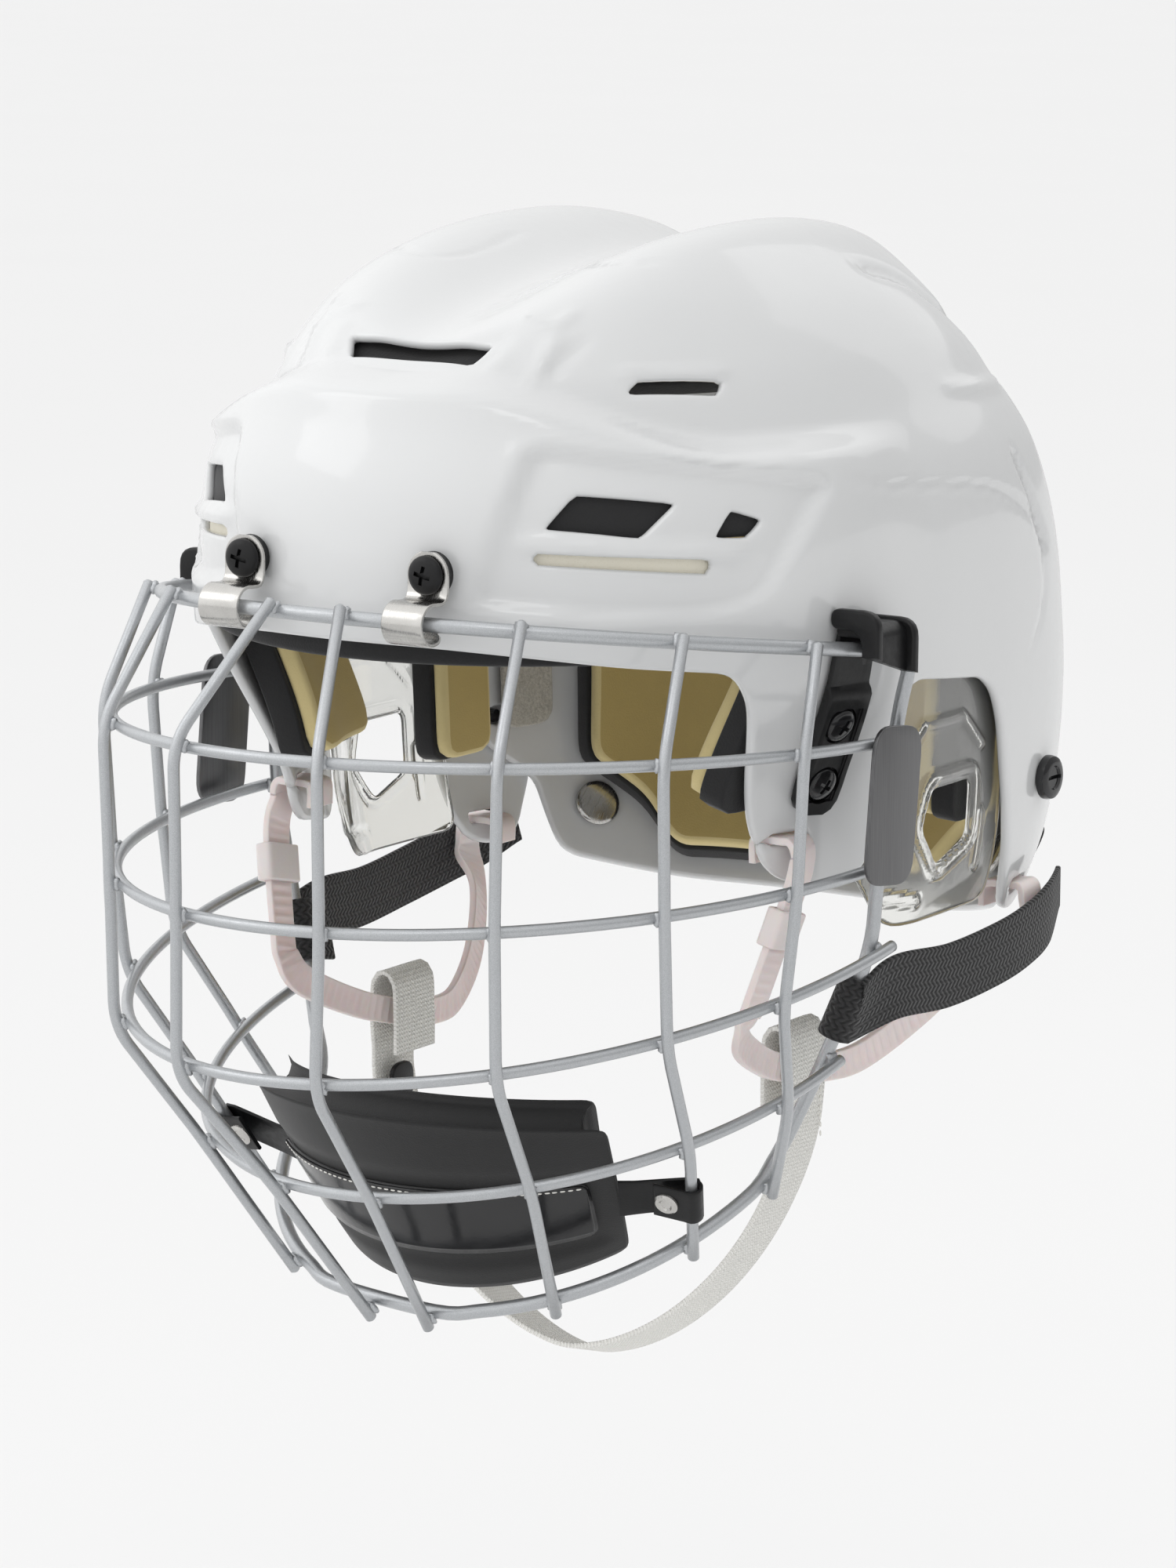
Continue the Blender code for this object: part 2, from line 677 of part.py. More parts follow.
def make_j_clips():
    """Bent strips that hang the top rail from the brow; each is screwed on over a spacer."""
    eye = rail_in_clip()
    path = [(J_PLATE_Y, 82.6), (J_PLATE_Y, 77), (J_PLATE_Y, 72), (J_PLATE_Y - 1.2, 70.4), (J_PLATE_Y - 3, 69.9)]
    for degrees in range(75, 331, 17):
        a = math.radians(degrees)
        path.append((eye.y + J_CLIP_EYE * math.cos(a), eye.z + J_CLIP_EYE * math.sin(a)))
    outline = strip_outline(path, J_CLIP_SHEET)
    for label, side in both_sides():
        low, high = sorted((side * (J_CLIP_X - J_CLIP_WIDTH / 2), side * (J_CLIP_X + J_CLIP_WIDTH / 2)))
        clip = prism(f"j_clip_{label}", outline, "YZ", low, high, "steel")
        centre = Vector((side * J_CLIP_X, J_PLATE_Y, J_SCREW_Z))
        inward = Vector((0, 1, 0))
        hole = rod(f"j_hole_{label}", centre - inward * 5, centre + inward * 14, 2.6, "steel", 12)
        make_cutter(hole)
        boolean(clip, hole)
        boolean(bpy.data.objects["front_shell"], hole)
        base = centre - inward * (J_CLIP_SHEET / 2 + GAP)
        turned_fastener(f"j_screw_{label}", base, -inward, 5.3, 2.6, 2.0, 12.5, "black_plastic")
        make_spacer(label, centre, inward)


def make_spacer(label, centre, inward):
    """Rubber collar between a J-clip and the curved brow, trimmed to the brow's surface."""
    start = centre + inward * (J_CLIP_SHEET / 2 + GAP)
    spacer = rod(f"j_spacer_{label}", start, start + inward * 2.6, 6.0, "black_plastic", 20)
    bore = rod(f"j_spacer_bore_{label}", start - inward * 3, start + inward * 9, 2.6, "steel", 12)
    boolean(spacer, make_cutter(bore))


def make_side_clips():
    """Moulded clips on the temples: a tapering body and a hood over the end of the top rail."""
    run = [  # height, y, width, thickness
        (56.2, -54, 16.6, 1.6), (50, -54, 17, 1.6), (41, -54, 17, 1.6), (37, -54, 17, 3.4),
        (30, -53.4, 17, 3.6), (20, -52.2, 16.5, 3.6), (12, -51.2, 16, 3.6), (7, -50.9, 15, 3.2),
        (4, -50.8, 10, 2.6),
    ]
    for label, side in both_sides():
        path, across = [], []
        for z, y, width, thick in run:
            a = degrees_at(y, z)
            outside = surface_at(a, z, -(GAP + 0.4 + thick / 2))
            path.append(flip(outside, side))
            tangent = surface_at(a + 2, z) - surface_at(a - 2, z)
            across.append(flip(tangent.normalized(), side))
        body = ribbon(f"side_clip_{label}", path, across, [r[2] for r in run], [r[3] for r in run],
                      "black_plastic")
        hood = [(104.2, 54.4), (113.8, 54.4), (113.8, 43), (115.8, 43), (115.8, 57.6), (104.2, 57.6)]
        bm = bmesh.new()
        ends = [[bm.verts.new((side * x, y, z)) for x, z in hood] for y in (-63, -38)]
        bm.faces.new(ends[0])
        bm.faces.new(ends[1][::-1])
        for j in range(len(hood)):
            k = (j + 1) % len(hood)
            bm.faces.new((ends[0][j], ends[1][j], ends[1][k], ends[0][k]))
        cover = make_cutter(finish_mesh(bm, f"clip_hood_{label}", "black_plastic", smooth=False))
        boolean(body, cover, "UNION")
        for name, (y, z) in CLIP_SCREWS.items():
            a = degrees_at(y, z)
            surface = flip(surface_at(a, z), side)
            out = (flip(surface_at(a, z, -1.0), side) - surface).normalized()
            hole = rod(f"clip_hole_{name}_{label}", surface - out * 8, surface + out * 12, 2.6,
                       "black_plastic", 12)
            make_cutter(hole)
            boolean(body, hole)
            boolean(bpy.data.objects["front_shell"], hole)
            pocket = rod(f"clip_pocket_{name}_{label}", surface + out * 2.4, surface + out * 12, 5.6,
                         "black_plastic", 16)
            boolean(body, make_cutter(pocket))
            turned_fastener(f"clip_screw_{name}_{label}", surface + out * 2.7, out, 5.0, 2.4, 2.0, 7.4,
                            "black_plastic")


def loop_path():
    """Mid-line of the left ear loop with the direction of its width at each point."""
    fy, fz = LOOP_SLOT_FRONT
    ry, rz = LOOP_SLOT_REAR
    front = surface_at(degrees_at(fy, fz), fz)
    rear = surface_at(degrees_at(ry, rz), rz)
    leg_top = Vector((front.x + 3.4, fy - 4.5, fz - 16))
    points = [
        (front.x - 9, fy, fz - 7), (front.x - 9, fy, fz - 1.5), (front.x - 7.5, fy, fz), (front.x, fy, fz),
        (front.x + 2.4, fy, fz), (front.x + 4, fy, fz - 2), (front.x + 4.2, fy, fz - 6), leg_top,
        (80.5, -66, -48), (78, -67, -54.5), (74.5, -63.5, -61.5), (70, -43, -71.5), (67.5, -24, -77),
        (68, -6, -80), (71, 9, -79), (77.5, 28, -70), (87, 45, -56),
        (rear.x + 3.6, ry - 1, rz - 12), (rear.x + 4.2, ry, rz - 3),
        (rear.x + 3, ry, rz), (rear.x, ry, rz), (rear.x - 7, ry, rz), (rear.x - 9, ry, rz - 2),
        (rear.x - 9, ry, rz - 7),
    ]
    path = [Vector(p) for p in points]
    across = []
    for i, p in enumerate(path):
        along = path[min(i + 1, len(path) - 1)] - path[max(i - 1, 0)]
        flat = Vector((0, along.y, along.z))
        if i < 8:
            across.append(Vector((0, 1, 0)))
        elif i > len(path) - 8:
            across.append(Vector((0, -1, 0)))
        else:
            across.append(Vector((1, 0, 0)).cross(flat).normalized())
    return path, across


def make_ear_loops():
    path, across = loop_path()
    top, end = path[7], path[8]
    along = (end - top).normalized()
    widths = [LOOP_WIDTH - 2.5 * bell(i, 12, 3.0) for i in range(len(path))]
    for label, side in both_sides():
        ribbon(f"ear_loop_{label}", [flip(p, side) for p in path], [flip(a, side) for a in across],
               widths, LOOP_SHEET, "pink_plastic")
        start = top + along * 3
        run = [flip(start, side), flip(start + along * 11, side)]
        wide = [Vector((0, 1, 0))] * 2
        sleeve = ribbon(f"loop_sleeve_{label}", run, wide, LOOP_WIDTH + 4, LOOP_SHEET + 3.6,
                        "pink_plastic", pivot=run[0])
        reach = along * 6
        bore_run = [flip(start - reach, side), flip(start + along * 11 + reach, side)]
        bore = ribbon(f"sleeve_bore_{label}", bore_run, wide, LOOP_WIDTH + 0.9, LOOP_SHEET + 0.9,
                      "pink_plastic")
        boolean(sleeve, make_cutter(bore))


def make_chin_strap():
    """Chin webbing hooked over both ear loops and hanging in a curve between them."""
    px, py, pz = CHIN_PIVOT
    low_y, low_z = CHIN_LOW_POINT
    half = [
        Vector((px - 4.2, py, pz - 13)), Vector((px - 4.2, py, pz - 2)), Vector((px - 3.6, py, pz + 8.4)),
        Vector((px, py, pz + 11.4)), Vector((px + 3.6, py, pz + 8.4)), Vector((px + 4.2, py, pz - 3)),
    ]
    drop = pz - 12 - low_z
    spread = px + 3.6
    count = 9
    for k in range(count):
        u = math.radians(90 * k / (count - 1))
        x = spread * math.cos(u) ** 1.2 if k < count - 1 else 0.0
        z = pz - 12 - drop * math.sin(u) ** 1.15
        y = py + (low_y - py) * math.sin(u)
        half.append(Vector((x, y, z)))
    path = half + [mirror_x(p) for p in half[-2::-1]]
    across = [Vector((0, 1, -0.35 * max(0.0, (pz - p.z - 40) / 60))) for p in path]
    ribbon("chin_strap", path, across, CHIN_WEB[0], CHIN_WEB[1], "white_webbing", pivot=(0, py, pz))
    outside = px + 4.2 + CHIN_WEB[1] / 2 + GAP
    rod("strap_snap", (-outside + 0.2, py + 2, pz - 14), (-outside - 2.6, py + 2, pz - 14), 5.6, "steel", 20)
    block("strap_tab", (1.6, 11, 12), "black_plastic", location=(-px + 1.6, py - 3, pz - 22.5), bevel=0.4)


def make_j_straps():
    """Black webbing looped round the side wire of the frame and run back to the rear shell."""
    top, bottom = Vector(SIDE_RUN[3]), Vector(SIDE_RUN[4])
    along = (bottom - top).normalized()
    centre = top + (bottom - top) * 0.46
    back = Vector((0.12, 1, 0.05))
    back = (back - along * back.dot(along)).normalized()
    out = back.cross(along).normalized()
    if out.x < 0:
        out = -out
    radius = FRAME_R + 1.2 + J_WEB[1] / 2
    loop = [centre - out * radius + back * 9, centre - out * radius + back * 3]
    for degrees in range(0, 181, 30):
        a = math.radians(degrees)
        loop.append(centre - out * radius * math.cos(a) - back * radius * math.sin(a))
    run = [(99.5, -22, -50), (102, 4, -51), (103.8, 30, -49), (103.8, 50, -46), (101, 66, -42.5),
           (95.6, 80, -38.5)]
    path = loop + [Vector(p) for p in run]
    across = [along.copy() for _ in loop] + [Vector((0.0, 0.12, 1.0)) * -1 for _ in run]
    for label, side in both_sides():
        ribbon(f"j_strap_{label}", [flip(p, side) for p in path], [flip(a, side) for a in across],
               J_WEB[0], J_WEB[1], "black_webbing", pivot=flip(centre, side))


def make_rear_buckles():
    """Plate screwed to the rear shell under the strap's end, with its T-nut inside."""
    y, z = 90.8, -36.0
    a = degrees_at(y, z, REAR_INSET)
    surface = surface_at(a, z, REAR_INSET)
    out = (surface_at(a, z, REAR_INSET - 1) - surface).normalized()
    for label, side in both_sides():
        normal = flip(out, side)
        at = flip(surface, side)
        turn = math.degrees(math.atan2(normal.y, normal.x))
        tilt = -math.degrees(math.asin(normal.z))
        plate = block(f"rear_buckle_{label}", (2.6, 18, 26), "black_plastic",
                      location=at + normal * 2.3, rotation=(0, tilt, turn), bevel=0.6)
        bore = rod(f"tee_hole_{label}", at - normal * 9, at + normal * 1.8, 3.0, "steel", 14)
        make_cutter(bore)
        boolean(plate, bore)
        boolean(bpy.data.objects["rear_shell"], bore)
        inner = at - normal * (SHELL_THICKNESS + 1.4)
        turned_fastener(f"tee_nut_{label}", inner, -normal, 7.0, 1.6, 2.5, 4.0, "steel")


def cup_point(u, v, inset):
    """Chin cup surface: u across in degrees, v from the top edge (0) to the bottom (1)."""
    lean = 34 * v
    radius = 74 - inset - 12 * v
    a = math.radians(u)
    centre_y = -68 + lean - 9 * v
    x = radius * math.sin(a)
    y = centre_y - radius * math.cos(a)
    z = -73 - 64 * v - 9 * (1 - math.cos(a)) * (1 - v) + 34 * (1 - math.cos(a)) * v
    return Vector((x, y, z))


def make_chin_cup():
    columns, rows = 14, 4
    grid = [[cup_point(CUP_SPAN * (2 * j / columns - 1), i / rows, 0) for j in range(columns + 1)]
            for i in range(rows + 1)]
    bm = grid_mesh(grid)
    outward(bm, (0, -60, -60))
    bmesh.ops.scale(bm, vec=(MM, MM, MM), verts=bm.verts)
    mesh = bpy.data.meshes.new("chin_cup")
    bm.to_mesh(mesh)
    bm.free()
    mesh.materials.append(material("black_foam"))
    mesh.shade_smooth()
    cup = link(bpy.data.objects.new("chin_cup", mesh))
    wall = cup.modifiers.new("wall", "SOLIDIFY")
    wall.thickness = CUP_THICKNESS * MM
    wall.offset = -1.0
    band = [[cup_point(-50 + 100 * j / columns, 0.42 + 0.30 * i, -1.9) for j in range(columns + 1)]
            for i in range(2)]
    skin = grid_mesh(band)
    outward(skin, (0, -60, -60))
    bmesh.ops.scale(skin, vec=(MM, MM, MM), verts=skin.verts)
    mesh = bpy.data.meshes.new("chin_cup_band")
    skin.to_mesh(mesh)
    skin.free()
    mesh.materials.append(material("black_plastic"))
    strap = link(bpy.data.objects.new("chin_cup_band", mesh))
    wall = strap.modifiers.new("wall", "SOLIDIFY")
    wall.thickness = 1.2 * MM
    wall.offset = -1.0
    make_cup_tabs()


def make_cup_tabs():
    """Tabs that run from the cup's ends round the third uprights, with their eyelets."""
    path = upright_path(UPRIGHT_ANGLES[2])
    top = min(path, key=lambda p: abs(p.z + 90))
    low = min(path, key=lambda p: abs(p.z + 110))
    along = (low - top).normalized()
    centre = top + along * ((-99 - top.z) / along.z)
    start = cup_point(CUP_SPAN - 0.5, 0.55, -1.7) + Vector((1.2, 1.0, 0))
    back = start - centre
    back = (back - along * back.dot(along)).normalized()
    out = along.cross(back).normalized()
    if out.dot(Vector((0.6, -1, 0))) < 0:
        out = -out
    radius = WIRE_R + 1.1
    wrap = []
    for degrees in range(-20, 201, 36):
        a = math.radians(degrees)
        wrap.append(centre + out * radius * math.cos(a) - back * radius * math.sin(a))
    tail = wrap[0] + back * 9 + out * 0.4
    route = [tail, *wrap, start + (centre - start) * 0.35 - out * 1.0, start]
    for label, side in both_sides():
        points = [flip(p, side) for p in route]
        ribbon(f"chin_cup_tab_{label}", points, [flip(along, side)] * len(points), 12.0, 1.1,
               "black_plastic")


def hang_on(name, point, pieces):
    """Empty on a joint's axis, with the pieces that turn about it as its children."""
    empty = link(bpy.data.objects.new(name, None))
    empty.location = Vector(point) * MM
    for piece in pieces:
        piece.parent = empty
        piece.matrix_parent_inverse = Matrix.Translation(-empty.location)


def set_hinges():
    """The cage turns in the J-clips, and the chin strap turns where it hooks over the ear loops."""
    pieces = [ob for ob in bpy.data.collections["hockey_helmet"].objects]
    cage = [ob for ob in pieces if ob.name.startswith(("cage_", "name_plate_", "chin_cup"))]
    chin = [ob for ob in pieces if ob.name in ("chin_strap", "strap_snap", "strap_tab")]
    eye = rail_in_clip()
    hang_on("cage_hinge", (0, eye.y, eye.z), cage)
    hang_on("chin_hinge", (0, CHIN_PIVOT[1], CHIN_PIVOT[2]), chin)


def main():
    clear_scene()
    make_shells()
    make_liner()
    make_ear_guards()
    make_size_screws()
    make_cage()
    make_name_plates()
    make_j_clips()
    make_side_clips()
    make_ear_loops()
    make_chin_strap()
    make_j_straps()
    make_rear_buckles()
    make_chin_cup()
    set_hinges()


main()
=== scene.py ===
import math
import random

import bmesh
import bpy
import numpy as np
from mathutils import Matrix, Vector, kdtree


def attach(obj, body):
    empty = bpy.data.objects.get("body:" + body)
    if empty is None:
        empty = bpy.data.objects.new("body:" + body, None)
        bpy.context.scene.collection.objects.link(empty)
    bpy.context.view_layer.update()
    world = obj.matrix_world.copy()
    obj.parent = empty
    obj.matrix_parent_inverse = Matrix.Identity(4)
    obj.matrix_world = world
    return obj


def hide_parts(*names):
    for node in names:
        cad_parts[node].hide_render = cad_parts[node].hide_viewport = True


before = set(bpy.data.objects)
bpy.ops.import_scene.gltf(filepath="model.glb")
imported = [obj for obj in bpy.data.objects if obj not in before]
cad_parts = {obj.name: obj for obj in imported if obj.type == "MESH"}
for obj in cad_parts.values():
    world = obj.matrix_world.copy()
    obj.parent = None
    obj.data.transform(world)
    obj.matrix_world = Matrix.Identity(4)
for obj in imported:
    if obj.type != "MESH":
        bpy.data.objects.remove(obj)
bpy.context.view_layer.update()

# Sizes and places are in millimetres in the frame of the CAD; new_object() scales them to metres.
MM = 0.001

# ---------------------------------------------------------------- dimensions shared with the CAD

# Shell sections: height, half width, front reach, rear reach, front and rear squareness
SECTIONS = np.array([
    (-62, 88, -106, 106, 2.1, 2.6),
    (-45, 96, -118, 117, 2.1, 2.6),
    (-20, 102, -128, 130, 2.1, 2.7),
    (10, 104, -135, 138, 2.05, 2.75),
    (40, 105, -137.5, 138, 2.0, 2.7),
    (70, 105, -137.5, 134.5, 2.0, 2.6),
    (95, 101, -135, 127, 2.05, 2.45),
    (113, 91.5, -128, 116, 2.1, 2.35),
    (128, 82.5, -121, 102, 2.15, 2.25),
    (141, 71, -106, 86, 2.15, 2.15),
    (150, 57, -81, 69, 2.1, 2.1),
    (155.5, 41, -54, 48, 2.1, 2.0),
    (158.5, 21, -27, 25, 2.0, 2.0),
    (159.5, 0, 0, 0, 2.0, 2.0),
])
TOP = len(SECTIONS) - 1
SHELL_CENTRE_Y = 4.0
SHELL_THICKNESS = 3.0
REAR_INSET = 3.9
BROW_BAND = 13.0
BROW_LEDGE_FRONT, BROW_LEDGE_SIDE = 125.0, 106.0
LOBE_HEIGHT, LOBE_X, VALLEY_DEPTH = 5.0, 43.0, 10.0
TEMPLE_TUCK = 10.0

FRONT_OUTLINE = [
    (-190, 190), (50, 190), (54, 150), (66, 100), (84, 30), (84, 5), (78, -24), (68, -40), (58, -43),
    (48, -40), (43, -30), (37, -7), (30, 19), (25, 28), (17, 33), (-18, 37), (-25, 33), (-28, 24),
    (-26, 0), (-27, -14), (-33, -20), (-56, -16), (-62, -11), (-67, 0), (-84, 38), (-91, 47),
    (-119, 51), (-150, 57), (-190, 57),
]
REAR_OUTLINE = [
    (30, 190), (34, 150), (46, 100), (57, 40), (57, -10), (76, -24), (76, -47), (100, -56), (190, -58),
    (190, 190),
]
BROW_VENT = [(-9.5, 130.4), (9.5, 130.4), (11.5, 134.9), (-11.5, 134.9)]
SIDE_VENTS = [
    [(30, 121.5), (43, 120), (44, 123.5), (31, 124.5)],
    [(22, 89), (32, 86), (36, 95), (25, 98)],
    [(41, 85), (45, 84.5), (47, 89), (43, 92)],
    [(21, 79), (40, 75), (40, 79), (21, 82)],
]
SIZE_SCREW = (63.0, -3.0)
SIZE_TRAVEL = 10.0
SIZE_SLOT_HALF = (2.8, 2.7)
LOOP_SLOT_FRONT = (-54.5, -4.0)
LOOP_SLOT_REAR = (57.0, -34.0)
LOOP_SLOT_HALF = (6.5, 1.6)
EDGE_RADIUS = 1.25

# Grooves and ridges round the rear shell: angle where it starts, height, rise
REAR_GROOVES = ((128, 62, 1.3), (135, 8, -1.4), (140, 108, -1.2))

# Pads, as outlines in (degrees, height), and the depth of each inside the shell's outer face
BROW_PAD, BROW_PAD_DEPTH = [(-46, 51), (46, 51), (46, 70), (-46, 70)], 5.0
CROWN_PAD, CROWN_PAD_DEPTH = [(-60, 126), (60, 126), (60, 149), (-60, 149)], 5.2
REAR_PAD = [(153, -53), (207, -53), (213, -38), (224, -22), (224, 82), (136, 82), (136, -22), (147, -38)]
REAR_PAD_DEPTH = 8.2
TEMPLE_PAD_DEPTH, SIDE_PAD_DEPTH, PLUSH_DEPTH, VENT_PAD_DEPTH = 5.4, 9.8, 8.9, 5.6
# Foam behind the side vents: part, span in degrees, heights, finish
VENT_PADS = (
    ("upper", (17, 51), (84.5, 103), "black_foam"),
    ("lower", (16, 41.5), (71.5, 84.1), "cream_foam"),
)

# Cage rails: front height, rise to the side, half width, front reach, centre y
FRAME_TOP = (65.5, -17.5, 110.5, 129.5, -33.0)
FRAME_BOTTOM = (-134.5, 40.0, 79.5, 77.0, -45.0)
BARS = [
    (31.5, -7.0, 110.4, 146.0, -45.0),
    (-13.8, 3.0, 107.5, 144.0, -48.0),
    (-55.0, 17.0, 103.5, 147.5, -45.0),
    (-94.0, 24.5, 92.4, 111.5, -45.0),
]
BAR_END = [95.5, 96, 96, 93]
UPRIGHT_ANGLES = [
    (6, 11.5, 12, 12, 9.5, 7),
    (30, 34, 34.5, 35.5, 34.5, 32.5),
    (50.5, 54, 55.5, 57, 59, 60),
    (69.5, 73, 74, 73.5, 77, 80),
]
SIDE_RUN = [
    (109.0, -33, 43), (106.5, -34.5, 28), (102.8, -37, -12), (98.8, -36.5, -38),
    (87.2, -42.5, -71), (79.5, -49, -92),
]
FRAME_R, WIRE_R, GAP = 2.0, 1.65, 0.3
UPRIGHT_BEND = 7.0

J_CLIP_X, J_CLIP_WIDTH, J_CLIP_SHEET, J_CLIP_EYE = 30.0, 13.0, 1.0, 5.4
J_PLATE_Y, J_SCREW_Z = -150.6, 77.0
CLIP_SCREWS = {"upper": (-53.6, 30.5), "lower": (-51.0, 13.0)}
LOOP_WIDTH, LOOP_SHEET, LOOP_BORDER = 10.5, 2.2, 2.0
CHIN_PIVOT = (67.5, -24.0, -75.0)
CHIN_WEB = (20.0, 1.5)
CHIN_LOW_POINT = (-30.0, -168.0)
J_WEB = (18.5, 1.6)
CUP_SPAN = 58.0
CUP_HEIGHT = 66.0        # along the outside, from the top edge to the bottom one
CUP_DEGREE = 1.18        # mm of the outside for each degree across
CUP_MIDDLE = 0.57
BAND_SPAN, BAND_TOP, BAND_LOW, STITCH_ROW = 47.0, 0.40, 0.73, 0.425

# Turned parts, as (radius, height) from one end to the other
SPACER_PROFILE = [(2.6, 0), (5.6, 0), (6.0, 0.4), (5.8, 1.3), (6.0, 2.2), (5.6, 2.6), (2.6, 2.6), (2.6, 0.01)]
POCKET_PROFILE = [(0, 9), (5.9, 9), (5.6, 4.0), (5.6, 2.3), (2.6, 2.3), (2.6, -2), (0, -2)]
PLUG_PROFILE = [
    (0, 2.4), (3.2, 2.4), (3.6, 3.0), (5.0, 3.0), (6.2, 2.4), (6.5, 1.2), (6.5, 0.2), (6.2, 0), (2.0, 0),
    (2.0, -8.2), (0, -8.2),
]
NUT_PROFILE = [
    (0, 1.6), (5.6, 1.6), (6.6, 1.3), (7.0, 0.8), (7.0, 0.2), (6.8, 0), (2.5, 0), (2.5, -4), (0, -4),
]
SNAP_PROFILE = [(0, 2.4), (1.4, 2.5), (2.2, 2.8), (4.4, 2.6), (5.4, 1.7), (5.6, 0.6), (5.4, 0), (0, 0)]
EYELET_PROFILE = [(1.5, 0.5), (2.0, 1.0), (2.9, 1.0), (3.5, 0.5), (3.6, 0), (1.5, 0), (1.5, 0.49)]

# Side clips: (height, y, width) down the plate; (x, z) and (y, z) outlines of the saddle over the rail
CLIP_RUN = [
    (58.4, -54, 15.6), (50, -54, 17), (41, -54, 17), (36, -53.9, 17), (30, -53.4, 17), (20, -52.2, 16.5),
    (12, -51.2, 16), (8, -50.9, 15), (5.5, -50.8, 12), (4, -50.8, 7),
]
CLIP_HOOD = [
    (103.6, 55.2), (112.3, 55.2), (112.7, 42), (114.9, 42), (114.9, 56.0), (112.4, 58.2), (103.6, 58.2),
]
CLIP_FLANGES = ((-63.0, 63.0, 57.4, 3.4), (-43.4, 58.9, 54.4, 3.0))   # y, top, sill, width
CLIP_SLOPE = [(-67, 38), (-38, 38), (-38, 42.6), (-43.4, 44.0), (-63, 50.0), (-67, 51.2)]
# J-strap from the cage wire to the rear buckle
J_STRAP_RUN = [
    (99.5, -22, -50), (102, 4, -51), (103.8, 30, -49), (103.6, 48, -46.5), (101.6, 63, -43.4),
    (96.0, 79.5, -38.8),
]
BUCKLE_PLACE = (90.8, -36.0)

# Ear guards, as (y, z) points
EAR_GUARD_DEPTH, EAR_GUARD_SHEET = 4.3, 1.6
EAR_OUTLINE = [(-31, -12), (-15, -36), (41, -36), (41, 41), (-31, 41)]
EAR_HOLE = [(-6, -8), (4, -20), (21, -14), (21, 3), (-2, 3)]
EAR_RIBS = [
    [(-20, -8), (-20, -27), (-4, -30)], [(28, -8), (28, -24)], [(-18, 12), (-8, 22), (14, 22), (26, 12)],
]

# Floor, lights as (name, place in metres, size, power), and camera
FLOOR_Z, FLOOR_HALF = -420.0, 20000
BRIGHT_SIDE = (-0.60, -0.45, 0.66)
WORLD_DIM, WORLD_BRIGHT = 0.22, 1.40
LIGHTS = [
    ("key", (-1.5, -1.3, 1.5), 1.1, 3.4),
    ("strip", (0.9, -1.4, 1.9), 0.7, 2.0),
    ("rear", (0.4, 2.0, 1.3), 1.2, 2.0),
]
CAMERA_AZIMUTH, CAMERA_ELEVATION = 33.0, 10.446
CAMERA_PLACE = (0.87957, -1.38138, 0.29642)
CAMERA_LENS, CAMERA_SENSOR = 131.24, 36.0

# ---------------------------------------------------------------- small maths


def ease(low, high, value):
    s = np.clip((value - low) / (high - low), 0.0, 1.0)
    return s * s * (3 - 2 * s)


def bell(value, centre, width):
    return np.exp(-((value - centre) / width) ** 2)


def unit(v):
    return v / np.maximum(np.linalg.norm(v, axis=-1, keepdims=True), 1e-9)


def catmull(a, b, c, d, u):
    return 0.5 * (2 * b + (c - a) * u + (2 * a - 5 * b + 4 * c - d) * u * u
                  + (3 * b - a - 3 * c + d) * u ** 3)


def arc_length(line):
    """Length along a line up to each of its points."""
    return np.concatenate([[0], np.cumsum(np.linalg.norm(np.diff(line, axis=0), axis=1))])


def smooth_line(points, step=1.5, cyclic=False):
    """Catmull-Rom curve through points, resampled to even steps."""
    p = np.asarray(points, float)
    n = len(p)
    out = []
    for i in range(n if cyclic else n - 1):
        if cyclic:
            a, b, c, d = (p[(i + k) % n] for k in (-1, 0, 1, 2))
        else:
            a, b, c, d = (p[min(max(i + k, 0), n - 1)] for k in (-1, 0, 1, 2))
        count = max(int(np.linalg.norm(c - b) / step), 1)
        for k in range(count):
            out.append(catmull(a, b, c, d, k / count))
    if not cyclic:
        out.append(p[-1])
    return np.array(out)


def round_corners(points, radius, steps=4, cyclic=True, through=False):
    """Corners replaced by arcs; with through, the arc still passes through the corner."""
    p = [np.asarray(q, float) for q in points]
    n = len(p)
    out = [] if cyclic else [p[0]]
    for i in range(n) if cyclic else range(1, n - 1):
        corner = p[i]
        a, b = p[i - 1] - corner, p[(i + 1) % n] - corner
        cut = min(radius, np.linalg.norm(a) * 0.45, np.linalg.norm(b) * 0.45)
        a, b = unit(a), unit(b)
        if through:
            corner = corner - (a + b) * cut / 4
        q, r = corner + a * cut, corner + b * cut
        for k in range(steps + 1):
            u = k / steps
            out.append(q * (1 - u) ** 2 + corner * 2 * u * (1 - u) + r * u * u)
    if not cyclic:
        out.append(p[-1])
    return out


def polygon_reach(points, polygon):
    """Signed distance (inside positive) from points (n, 2) to a closed polygon, and its direction."""
    poly = np.asarray(polygon, float)
    best = np.full(len(points), 1e9)
    away = np.zeros_like(points)
    inside = np.zeros(len(points), bool)
    for a, b in zip(poly, np.roll(poly, -1, axis=0)):
        ab = b - a
        t = np.clip(((points - a) @ ab) / max(ab @ ab, 1e-12), 0, 1)
        offset = points - (a + t[:, None] * ab)
        d = np.linalg.norm(offset, axis=1)
        near = d < best
        best = np.where(near, d, best)
        away[near] = offset[near]
        crosses = (a[1] > points[:, 1]) != (b[1] > points[:, 1])
        if abs(ab[1]) > 1e-12:
            x = a[0] + (points[:, 1] - a[1]) / ab[1] * ab[0]
            inside ^= crosses & (points[:, 0] < x)
    return np.where(inside, best, -best), unit(away)


def polygon_distance(points, polygon):
    return polygon_reach(points, polygon)[0]


# ---------------------------------------------------------------- shell surface

